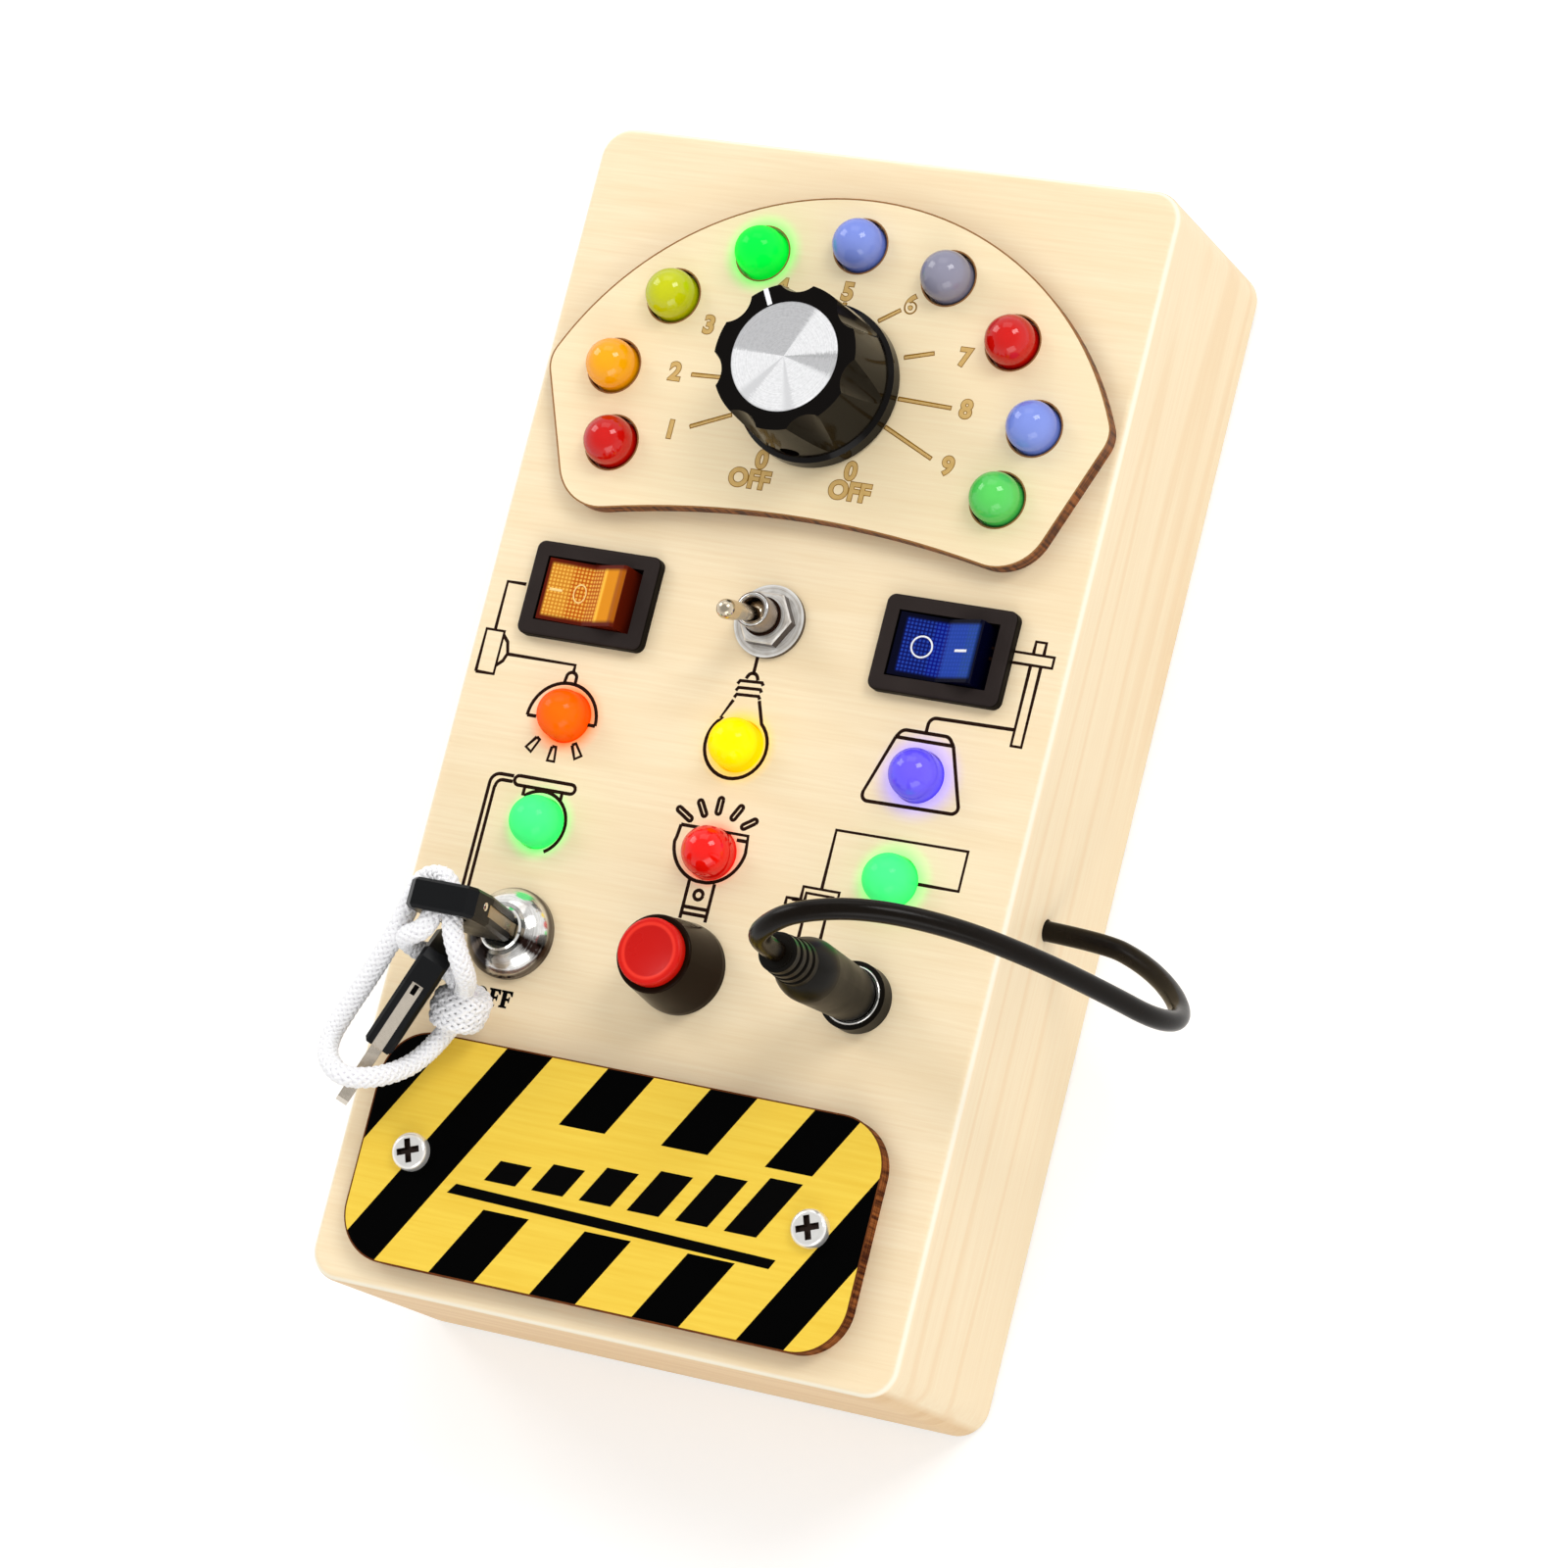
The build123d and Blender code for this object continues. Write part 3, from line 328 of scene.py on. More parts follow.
cordPlan = {
    "diameter": 3.0,
    "strand": 0.72,
    "radius": 1.24,
    "weave": 0.11,
    "pitch": 8.4,
    "strands": 7,
    "core": 2.46,
}
keyCordPoints = [
    (-32.6, -53.4, 7.0), (-35.2, -59.0, 7.4), (-38.4, -63.6, 12.6), (-43.2, -65.4, 16.4),
    (-47.9, -62.8, 14.3), (-49.8, -59.2, 11.8), (-48.0, -55.0, 12.4), (-43.2, -48.6, 16.0),
    (-39.2, -42.6, 19.2), (-37.7, -38.2, 20.2), (-36.9, -34.0, 20.0), (-34.4, -32.7, 20.8),
    (-31.2, -33.2, 22.0), (-29.0, -36.6, 22.8), (-28.1, -41.0, 22.7), (-26.6, -44.6, 21.0),
    (-26.5, -46.9, 17.4), (-28.9, -47.6, 12.2), (-31.4, -49.6, 8.4),
]
spareCordPoints = [
    (-31.7, -36.4, 22.8), (-31.8, -41.2, 22.8), (-36.6, -42.9, 21.2), (-37.52, -43.38, 17.19),
    (-30.21, -46.19, 12.87), (-31.9, -48.3, 9.0), (-31.6, -51.2, 5.3),
]
cablePoints = [
    (29.6, -36.5, 33.0), (29.6, -36.5, 39.4), (31.6, -35.4, 44.4), (37.2, -32.4, 47.0),
    (47.2, -29.8, 45.0), (58.0, -29.1, 37.6), (67.4, -30.0, 27.6), (74.3, -31.2, 16.2),
    (78.8, -32.2, 5.8), (79.4, -30.3, -3.2), (74.8, -25.6, -9.6), (67.4, -21.2, -14.0),
    (59.0, -18.6, -15.6), (40.0, -18.6, -15.6),
]


def nylonMaterial(name, first, second):
    material = newMaterial(name, {"Roughness": 0.62, "Sheen Weight": 0.3})
    fibres = speck(material, 2600, 2)
    feed(material, "Base Color", blendColours(material, fibres, first, second))
    addBump(material, fibres, 0.25, 0.1)
    return material


nylon = nylonMaterial("white_nylon", "F8F7FA", "FFFFFF")
coreNylon = nylonMaterial("shaded_nylon", "E4E0E6", "EEEAF0")


def makeCord(name, points, plan):
    path = linePoints(name, points)
    core = asMesh(routeLine(name + "_core", points, plan["core"]))
    core.data.materials.append(coreNylon)
    strands = braid(name, path, plan)
    strands.data.materials.append(nylon)
    cord = joinPieces([strands, core], name + "_braid")
    finishPiece(cord, name + "_braid", "key", None, [name])
    return cord, path


def pathLength(path):
    return sum((after - before).length for before, after in zip(path, path[1:]))


# The knot is the same cord, wound round itself in slanting turns that bury its core.
knotPlan = {
    "axis": (0.35, 0.88, 0.25),
    "turns": 3.1,
    "span": 4.8,
    "radius": 2.95,
    "pinch": 0.3,  # how much the end turns draw in
    "sway": 0.35,
    "steps": 300,
    "core": 3.4,
    "forward": (0.5, -0.2, 1.1),
}


def makeKnot(plan, cord):
    low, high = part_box("cord_knot")
    centre = (low + high) / 2 + Vector(plan["forward"]) * mm
    along = Vector(plan["axis"]).normalized()
    first = along.cross(Vector((0, 0, 1))).normalized()
    second = along.cross(first)
    path = []
    for step in range(plan["steps"] + 1):
        travel = 2 * step / plan["steps"] - 1
        angle = math.pi * plan["turns"] * travel
        radius = plan["radius"] * (1 - plan["pinch"] * travel**4)
        sway = plan["sway"] * math.sin(angle + 1)
        place = first * math.cos(angle) * radius + second * math.sin(angle) * radius
        path.append(centre + (place + along * (travel * plan["span"] / 2 + sway)) * mm)
    pick()
    bpy.ops.mesh.primitive_ico_sphere_add(subdivisions=3, radius=plan["core"] * mm, location=centre)
    middle = bpy.context.object
    applyPlace()
    middle.data.materials.append(coreNylon)
    strands = braid("knot", path, cord)
    strands.data.materials.append(nylon)
    knot = joinPieces([strands, middle], "knotted_cord")
    return finishPiece(knot, "knotted_cord", "key", None, ["cord_knot"])


keyCord, keyPath = makeCord("key_cord", keyCordPoints, cordPlan)
spareCord, sparePath = makeCord("spare_key_cord", spareCordPoints, cordPlan)
knot = makeKnot(knotPlan, cordPlan)

# The cable hangs from its plug and goes back into the case.
cableRubber = newMaterial("cable_rubber", {"Specular IOR Level": 0.14})
cableGrain = speck(cableRubber, 900)
cableTint = blendColours(cableRubber, cableGrain, "0A0602", "140C05")
feed(cableRubber, "Base Color", cableTint)
feed(cableRubber, "Roughness", spread(cableRubber, cableGrain, 0.3, 0.7, 0.2, 0.28))
cablePath = linePoints("cable", cablePoints)
cablePlan = {"diameter": 3.2, "bendsTo": (67.4, -30.0, 27.6)}  # a point on the cable's route
cable = asMesh(routeLine("supply_cable", cablePoints, cablePlan["diameter"]))
cable.data.materials.append(cableRubber)
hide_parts("cable")
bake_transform(cable)
print("cords:", [round(pathLength(path), 4) for path in (keyPath, sparePath, cablePath)])


# Wood: fine streaks along the grain over slow growth lines, on a pale ground.
def grainColour(material, plan):
    fineScale, slowScale = (
        [plan[along] if axis in plan["grain"] else plan[across] for axis in "xyz"]
        for along, across in (("along", "across"), ("slowAlong", "slowAcross"))
    )
    streaks = noise(material, stretched(material, fineScale), 1, 4, 0.6)
    slow = noise(material, stretched(material, slowScale), 1, 2)
    amount = product(material, spread(material, streaks, 0.35, 0.75), plan["streaks"])
    tint = blendColours(material, amount, plan["pale"], plan["dark"])
    rings = maths(material, "SINE", product(material, slow, plan["rings"]))
    lines = product(material, spread(material, rings, 0.1, 1.0), plan["ringStrength"])
    return blendColours(material, lines, tint, plan["band"]), streaks


faceGrain = {
    "pale": "FAE6C1",
    "dark": "EBCB9A",
    "band": "F0D4A6",
    "grain": "x",
    "along": 60,
    "across": 1700,
    "slowAlong": 5,
    "slowAcross": 60,
    "streaks": 0.42,
    "rings": 30,
    "ringStrength": 0.22,
}
sideGrain = dict(
    faceGrain, pale="FCE8C4", dark="F3D4A8", band="F2D0A2", grain="y", along=34, across=1500,
    slowAcross=58, slowAlong=3.5, rings=40, ringStrength=0.42,
)
# The ends keep their own grain, in deeper tones that paint the shade of faces turned from the light.
endGrainAndShade = dict(sideGrain, pale="EBCB9E", dark="DDB47E", band="D9B07C", grain="x", ringStrength=0.4)
backGrain = dict(faceGrain, pale="F3DDB6", dark="DDB988", band="E3C292", grain="y", ringStrength=0.4)
plateGrain = dict(faceGrain, pale="F9E6BE", dark="EFD0A0", band="F1D6A8", ringStrength=0.15)


# A lit lamp's light on the wood round it is painted in: a painted glow in the wood's colour and
# emission, from its lens's edge outwards.
lensRadius = 3.9


def addPaintedGlow(material, tint, lamps):
    light = "000000"
    for place, code, reach in lamps:
        distance = distanceFrom(material, place)
        near = spread(material, distance, lensRadius * mm, reach * mm, 1.0, 0.0)
        near = maths(material, "POWER", near, 1.8)
        tint = blendColours(material, near, tint, code)
        # the painted glow also goes into the wood's emission, so the wood shines round the lamp
        light = blendColours(material, product(material, near, 0.45), light, code)
    feed(material, "Emission Color", light)
    socketsOf(material)["Emission Strength"].default_value = 1.0
    return tint


# The face, the long sides and the ends each show their own grain, and the rounded corners get a
# painted highlight in a near-white tone.
def boxWood(name, plan, lamps=()):
    material = newMaterial(name, {"Roughness": 0.55, "Specular IOR Level": 0.3})
    normal = normalParts(material)
    upright = maths(material, "ABSOLUTE", normal["Z"])
    endOn = maths(material, "ABSOLUTE", normal["Y"])
    face, streaks = grainColour(material, plan)
    if lamps:
        face = addPaintedGlow(material, face, lamps)
    side = grainColour(material, sideGrain)[0]
    end = grainColour(material, endGrainAndShade)[0]
    walls = blendColours(material, spread(material, endOn, 0.6, 0.8), side, end)
    tint = blendColours(material, spread(material, upright, 0.55, 0.8), walls, face)
    # painted highlight: where the face turns into the walls, the colour is blended towards near
    # white
    corner = product(material, between(material, upright, (0.3, 0.55), (0.75, 0.92)), 0.8)
    feed(material, "Base Color", blendColours(material, corner, tint, "FFF9E6"))
    addBump(material, streaks, 0.12, 0.08)
    return material


# A laser-cut plate: bare or printed on top, scorched and layered on its cut edges.
def scorchedEdges(material, tint):
    upright = maths(material, "ABSOLUTE", normalParts(material)["Z"])
    level = maths(material, "GREATER_THAN", upright, 0.5)
    layers = noise(material, stretched(material, (140, 140, 2600)), 1, 2)
    ticks = noise(material, stretched(material, (1700, 1700, 60)), 1, 2)
    char = product(material, layers, spread(material, ticks, 0.35, 0.65, 0.5, 1.3))
    char = spread(material, char, 0.25, 0.75)
    scorch = blendColours(material, char, "3A150A", "9A5A2C")
    return blendColours(material, level, scorch, tint)


def middleOf(name):
    low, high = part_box(name)
    return (low + high) / 2


def lampPlace(name, z):
    middle = middleOf(name)
    return Vector((middle.x, middle.y, z))


flange = 4.7 * mm  # from a lamp's outer edge to its middle
greenLow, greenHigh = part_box("circuit_leds_green")
# Where the lit lamps stand, with the colour and reach of the painted glow round each.
faceLamps = [
    (lampPlace("circuit_led_orange", faceZ), "FF7A1E", 6.8),
    (lampPlace("circuit_led_yellow", faceZ), "FFC81A", 6.8),
    (lampPlace("circuit_led_blue", faceZ), "B9A6FF", 8.0),
    (lampPlace("circuit_led_red", faceZ), "FF8A6A", 5.8),
    (Vector((greenLow.x + flange, greenLow.y + flange, faceZ)), "8CFF8C", 6.6),
    (Vector((greenHigh.x - flange, greenHigh.y - flange, faceZ)), "9CFF8C", 7.2),
]
plateLamps = [(lampPlace("dial_led_green_lit", plateZ), "6CFF6A", 7.2)]

panelWood = boxWood("panel_wood", faceGrain, faceLamps)
railWood = boxWood("rail_wood", faceGrain)
coverWood = boxWood("cover_wood", backGrain)

dialPlate = newMaterial("dial_plate_wood", {"Roughness": 0.5, "Specular IOR Level": 0.35})
plateTint, plateStreaks = grainColour(dialPlate, plateGrain)
plateTint = addPaintedGlow(dialPlate, plateTint, plateLamps)
feed(dialPlate, "Base Color", scorchedEdges(dialPlate, plateTint))
addBump(dialPlate, plateStreaks, 0.1, 0.08)

# Slanted stripes on the power plate, with three of them cleared in a band for the level marks.
stripes = {
    "first": -47.6,  # where a black stripe starts along the board's lower edge
    "foot": 94.5,  # from the middle down to that edge
    "pitch": 17.5,
    "black": 7.9,
    "slant": 0.585,
    "band": (-79.3, -64.3),
    "yellow": "F3D050",
    "warm": "EDC545",
}


def stripeMaterial(plan):
    material = newMaterial("striped_print", {"Roughness": 0.5, "Specular IOR Level": 0.02})
    parts = partsOf(material, placeOf(material))
    up = parts["Y"]
    lean = product(material, maths(material, "ADD", up, plan["foot"] * mm), plan["slant"])
    across = maths(material, "SUBTRACT", parts["X"], plan["first"] * mm)
    ruler = maths(material, "SUBTRACT", across, lean)
    turns = maths(material, "DIVIDE", ruler, plan["pitch"] * mm)
    phase = maths(material, "FRACT", turns)
    black = maths(material, "LESS_THAN", phase, plan["black"] / plan["pitch"])
    count = maths(material, "FLOOR", turns)
    inner = addNode(material, "Math", {0: count, 1: 2.0, 2: 1.1}, operation="COMPARE").outputs[0]
    low, high = plan["band"]
    above = maths(material, "GREATER_THAN", up, low * mm)
    below = maths(material, "LESS_THAN", up, high * mm)
    cleared = product(material, above, below, inner)
    ink = product(material, black, maths(material, "SUBTRACT", 1.0, cleared))
    grain = noise(material, stretched(material, (60, 1400, 1400)), 1, 3)
    wear = spread(material, grain, 0.3, 0.7)
    paint = blendColours(material, wear, plan["yellow"], plan["warm"])
    tint = blendColours(material, ink, paint, "010101")
    feed(material, "Base Color", scorchedEdges(material, tint))
    addBump(material, grain, 0.08, 0.06)
    return material


dress(panelWood, "front_panel")
dress(railWood, "side_rail_left", "side_rail_right", "top_rail", "bottom_rail")
dress(coverWood, "back_cover")
dress(dialPlate, "dial_plate")
dress(stripeMaterial(stripes), "power_plate")
print("wood and plates dressed")


# Lamp lenses: diffused epoxy, clear-coated, some of them lit from inside. Each lens's rim is
# darkened by painted shade as its surface turns from the view, and the unlit lenses carry a faint
# painted glow.
def lensMaterial(name, edge, core, lit):
    gloss = 0.25 if lit > 0.25 else 0.9  # a lit lens hides most of its shine
    coat = {"Coat Weight": gloss, "Coat Roughness": 0.04, "Emission Strength": lit}
    material = newMaterial(name, {"Roughness": 0.4, "Specular IOR Level": 0.0, **coat})
    facing = addNode(material, "LayerWeight", {"Blend": 0.35}).outputs["Facing"]
    haze = product(material, speck(material, 240, 2), 0.2)
    # painted shade: the darker edge tone takes over where the surface turns away from the view
    depth = maths(material, "ADD", product(material, facing, 0.9), haze)
    tint = blendColours(material, depth, core, edge)
    feed(material, "Base Color", tint)
    feed(material, "Emission Color", tint)
    return material


# Each lens has a tone at its edge, darkened as painted shade, and in its middle, and how strongly it
# glows: the lit ones by their own light, the others by a faint painted glow.
lamps = {
    "dial_leds_red": ("8E0202", "D81008", 0.08),
    "dial_led_orange": ("DE8400", "FBAE06", 0.12),
    "dial_led_lime": ("949E00", "CFD208", 0.08),
    "dial_led_green_lit": ("00D234", "04F840", 0.55),
    "dial_leds_periwinkle": ("4C64C4", "8698E4", 0.08),
    "dial_led_violet": ("66667E", "9492A4", 0.06),
    "dial_led_green": ("24A03E", "5ED860", 0.08),
    "circuit_led_orange": ("E03400", "F86A04", 0.3),
    "circuit_led_yellow": ("F4C000", "FFEE00", 0.35),
    "circuit_led_blue": ("3A34E0", "6C58F4", 0.25),
    "circuit_led_red": ("C00004", "F41408", 0.2),
    "circuit_leds_green": ("2CE468", "48F482", 0.4),
}
for name, tones in lamps.items():
    dress(lensMaterial(name + "_lens", *tones), name)
print("lamps dressed")


# Plated and brushed metals.
def metalMaterial(name, tone, roughness, streaks=(1, 1, 1)):
    material = newMaterial(name, {"Metallic": 1.0})
    smear = noise(material, stretched(material, streaks), 900, 3)
    shade = tuple(part * 0.93 for part in colour(tone)[:3]) + (1.0,)
    worn = spread(material, smear, 0.3, 0.7)
    feed(material, "Base Color", blendColours(material, worn, shade, tone))
    feed(material, "Roughness", spread(material, smear, 0.3, 0.7, roughness * 0.8, roughness * 1.25))
    addBump(material, smear, 0.03, 0.05)
    return material


# Painted shade on walls under a bright top: the colour turns dark where the surface faces away from
# straight up.
def paintedShadeWalls(material, code, limit=0.5):
    level = spread(material, normalParts(material)["Z"], limit - 0.1, limit + 0.1)
    tint = blendColours(material, level, code, tintOf(material))
    feed(material, "Base Color", tint)
    return material


nickel = metalMaterial("bright_nickel", "E6E4E0", 0.1)
bushNickel = metalMaterial("bush_nickel", "A3968B", 0.24)
steel = metalMaterial("screw_steel", "D8D6CF", 0.24)
keySteel = metalMaterial("key_steel", "A8977A", 0.3, (1, 1, 0.1))
spareSteel = metalMaterial("spare_key_steel", "CDC3B4", 0.22, (1, 1, 0.1))
leverNickel = metalMaterial("lever_nickel", "CDBFA8", 0.2)
springSteel = metalMaterial("spring_steel", "C9C8C4", 0.25)


# Pan-head screws: bright heads whose cross recess is darkened by painted shade.
screwPlan = {"tone": "FCFAF6", "cross": "2C1C14", "radius": 3, "reach": 2.05, "depth": 0.12}


def crossedMaterial(name, node, plan):
    material = metalMaterial(name, plan["tone"], 0.2)
    socketsOf(material)["Metallic"].default_value = 0.6
    metal = tintOf(material)
    first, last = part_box(node)
    inset = Vector((plan["radius"], plan["radius"], 0)) * mm
    height = partsOf(material, placeOf(material))["Z"]
    low = maths(material, "LESS_THAN", height, last.z - plan["depth"] * mm)
    for x, y in ((first + inset).xy, (last - inset).xy):
        near = distanceFrom(material, Vector((x, y, last.z)))
        near = maths(material, "LESS_THAN", near, plan["reach"] * mm)
        # painted shade in the cross recess
        metal = blendColours(material, product(material, low, near), metal, plan["cross"])
    feed(material, "Base Color", metal)
    return material


screwHeads = crossedMaterial("screw_heads", "power_plate_screws", screwPlan)


def plasticMaterial(name, tone, second, rough, bump, shine=0.3, grain=2600, coat=0.0):
    sockets = {"Specular IOR Level": shine, "Coat Weight": coat, "Coat Roughness": 0.08}
    material = newMaterial(name, sockets)
    cloud = speck(material, 220)
    feed(material, "Base Color", blendColours(material, cloud, tone, second))
    feed(material, "Roughness", spread(material, cloud, 0.3, 0.7, rough * 0.85, rough * 1.2))
    addBump(material, speck(material, grain, 2), bump, 0.04)
    return material


# Two tones, roughness, bump, shine, grain and coat.
plastics = {
    "black_bakelite": ("050302", "0A0604", 0.13, 0.01, 0.12),
    "collar_brown": ("150801", "1C0C03", 0.2, 0.03, 0.06),
    "charcoal_plastic": ("332C2A", "2A2321", 0.46, 0.1, 0.04),
    "key_plastic": ("151618", "0E0F10", 0.32, 0.07, 0.12),
    "plug_rubber": ("14100A", "0C0A06", 0.34, 0.05, 0.12),
    "button_red": ("D01006", "DC1A0E", 0.3, 0.02, 0.2),
    "box_plastic": ("141414", "1C1C1C", 0.5, 0.12),
    "battery_jacket": ("2E3B4A", "3A4757", 0.3, 0.05, 0.3, 2600, 0.3),
    "board_green": ("0D4A2A", "125A34", 0.4, 0.05, 0.3, 900),
    "wire_red": ("A81410", "B92018", 0.4, 0.05),
}
plastic = {name: plasticMaterial(name, *plan) for name, plan in plastics.items()}
# painted shade on the walls of the rocker housings
paintedShadeWalls(plastic["charcoal_plastic"], "0C0806", 0.6)

# The button's cap has a painted highlight, a bright ring where its rim is rolled, and painted shade
# darkening the dish inside it.
capRim = {"inner": 3.95, "outer": 4.45, "soft": 0.12, "tone": "F43A28", "dishShade": "C80E06"}


def addRim(material, node, plan):
    middle = middleOf(node)
    parts = partsOf(material, placeOf(material))
    level = {"X": parts["X"], "Y": parts["Y"], "Z": middle.z}
    reach = distanceFrom(material, middle, addNode(material, "CombineXYZ", level).outputs[0])
    soft = plan["soft"]
    rise, fall = [[(plan[side] + way * soft) * mm for way in (-1, 1)] for side in ("inner", "outer")]
    # painted shade inside the ring
    dishShade = spread(material, reach, *rise, 1.0, 0.0)
    tint = blendColours(material, dishShade, tintOf(material), plan["dishShade"])
    # painted highlight on the ring
    edge = product(material, between(material, reach, rise, fall), 0.7)
    feed(material, "Base Color", blendColours(material, edge, tint, plan["tone"]))


addRim(plastic["button_red"], "button_cap", capRim)


# Turned metal: fine rings, crossed by dull and dark wedges of painted reflection, in place of the
# sectors that light draws on a spun face. Each wedge is a start and an end in radians, a colour and
# a strength. The rim is a band of painted shade towards the outer edge: where it starts and how
# softly, in millimetres, a colour and a strength.
def spunMaterial(name, centre, plan):
    material = newMaterial(name, {"Metallic": plan["metallic"], "Roughness": plan["roughness"]})
    inputs = {"Vector": placeOf(material), "Location": -centre}
    shift = addNode(material, "Mapping", inputs).outputs[0]
    parts = partsOf(material, shift)
    flat = addNode(material, "CombineXYZ", {0: parts["X"], 1: parts["Y"]}).outputs[0]
    reach = distanceFrom(material, Vector(), flat)
    angle = maths(material, "ARCTAN2", parts["Y"], parts["X"])
    fine = {"W": product(material, reach, plan["rings"]), "Scale": 1.0, "Detail": 3}
    rings = addNode(material, "TexNoise", fine, noise_dimensions="1D").outputs["Fac"]
    broken = product(material, noise(material, shift, plan["rings"] / 4, 2), 0.4)
    rings = maths(material, "ADD", product(material, rings, 0.6), broken)
    wander = product(material, maths(material, "SUBTRACT", rings, 0.5), plan["wander"])
    turn = maths(material, "ADD", angle, wander)
    shine = spread(material, rings, 0.35, 0.65)
    tint = blendColours(material, shine, plan["low"], plan["high"])
    fade = plan["fade"]
    # painted reflection: each wedge darkens the metal's colour over its angles
    for start, end, code, strength in plan["reflectionWedges"]:
        wedge = between(material, turn, (start - fade, start + fade), (end - fade, end + fade))
        broken = spread(material, rings, 0.38, 0.62, 0.55, 1.0)
        tint = blendColours(material, product(material, wedge, strength, broken), tint, code)
    # painted shade towards the outer edge
    start, soft, code, strength = plan["rim"]
    edge = spread(material, reach, start * mm, (start + soft) * mm, 0.0, strength)
    feed(material, "Base Color", blendColours(material, edge, tint, code))
    addBump(material, rings, 0.1, 0.05)
    return material


discPlan = {
    "metallic": 0.3,
    "roughness": 0.4,
    "rings": 9000,
    "wander": 0.35,
    "fade": 0.05,
    "low": "DCDCDD",
    "high": "FAFAFB",
    "reflectionWedges": (
        (1.17, 3.14, "A4A4A6", 0.9),
        (-0.24, 0.14, "9A9A9C", 0.8),
        (0.12, 0.19, "4A4A4C", 0.8),
        (-2.3, -2.05, "B4B4B6", 0.6),
        (-1.3, -1.1, "BEBEC0", 0.6),
    ),
    "rim": (9.6, 0.3, "8A8A8C", 0.6),
}
# The lock's dark wedges and rim paint the reflections and shade seen in its chrome.
lockPlan = {
    "metallic": 0.85,
    "roughness": 0.14,
    "rings": 5000,
    "wander": 0.2,
    "fade": 0.12,
    "low": "D8D6D2",
    "high": "F4F3F0",
    "reflectionWedges": (
        (-2.95, -1.8, "150A06", 1.8),
        (-1.6, -1.3, "8A7A6C", 0.8),
        (-0.5, -0.1, "2A1812", 1.5),
        (0.9, 1.1, "8A8078", 0.7),
        (2.2, 2.6, "5A4A40", 0.8),
        (-2.45, -2.35, "9A8A7C", 0.8),
    ),
    "rim": (6.75, 0.25, "3A2A20", 0.85),
}
nutPlan = dict(
    discPlan, metallic=0.4, roughness=0.25, rings=2400, low="C4BCB2", high="FFFDF8", reflectionWedges=(),
)
spunAluminium = spunMaterial("spun_aluminium", middleOf("dial_knob_cap"), discPlan)
lockNickel = spunMaterial("lock_nickel", middleOf("lock_body"), lockPlan)
# painted shade on the walls of the toggle's nut and washer
nutNickel = paintedShadeWalls(spunMaterial("nut_nickel", middleOf("toggle_washer"), nutPlan), "4A3C32")


# Rocker paddles: a printed window of dots, seen through tinted plastic with dark edges. Bands of
# tone along each paddle are partly the plastic's colour and partly painted light and shade on its
# facets, and the faint emission is a painted glow.
def paddleMaterial(name, plan):
    # the emission is a faint painted glow
    sockets = {"Roughness": 0.25, "Specular IOR Level": 0.08, "Emission Strength": plan["lit"]}
    material = newMaterial(name, sockets)
    parts = partsOf(material, placeOf(material))
    across = maths(material, "SUBTRACT", parts["X"], plan["centre"].x)
    up = maths(material, "SUBTRACT", parts["Y"], plan["centre"].y)
    waves = []
    for offset in (across, up):
        turns = product(material, offset, math.pi / (plan["dot"] * mm))
        waves.append(maths(material, "ABSOLUTE", maths(material, "SINE", turns)))
    dots = spread(material, product(material, *waves), 0.3, 0.75)
    end = plan["printed"] * mm
    printed = spread(material, across, end, end + 0.3 * mm, 1.0, 0.0)
    tint = plan["ground"]
    # bands of tone: partly the plastic's colour, partly painted light and shade on the facets
    for place, code in plan["toneAndShadeBands"]:
        step = spread(material, across, (place - plan["soft"]) * mm, (place + plan["soft"]) * mm)
        tint = blendColours(material, step, tint, code)
    grid = product(material, dots, plan["contrast"], printed)
    tint = blendColours(material, grid, tint, plan["dots"])
    outward = maths(material, "ABSOLUTE", up)
    beside = spread(material, outward, plan["height"] * mm, (plan["height"] + 0.6) * mm, 1.0, 0.0)
    low, high = (edge * mm for edge in plan["window"])
    inside = between(material, across, (low - 0.4 * mm, low), (high, high + 0.7 * mm))
    level = maths(material, "GREATER_THAN", normalParts(material)["Z"], 0.5)
    window = product(material, inside, beside, level)
    tint = blendColours(material, window, plan["edge"], tint)
    feed(material, "Base Color", tint)
    feed(material, "Emission Color", tint)
    return material


bluePaddle = {
    "centre": middleOf("rocker_right_housing"),
    "ground": "08125C",
    "toneAndShadeBands": ((-2.0, "081478"), (0.4, "1C3E9C"), (4.2, "20448E")),
    "soft": 0.3,
    "dots": "2448B4",
    "edge": "02031A",
    "dot": 0.62,
    "contrast": 0.7,
    "height": 3.9,
    "window": (-6.6, 5.9),
    "printed": 8.0,
    "lit": 0.05,
}
amberPaddle = dict(
    bluePaddle, centre=middleOf("rocker_left_housing"), soft=0.25, dots="F2C050", edge="5A1606",
    toneAndShadeBands=((-3.6, "B8560E"), (2.2, "FFC040"), (2.8, "DC8A0C"), (5.4, "A85A0A")),
    ground="C87C24", contrast=0.75, window=(-7.2, 6.6), printed=2.0, lit=0.08,
)

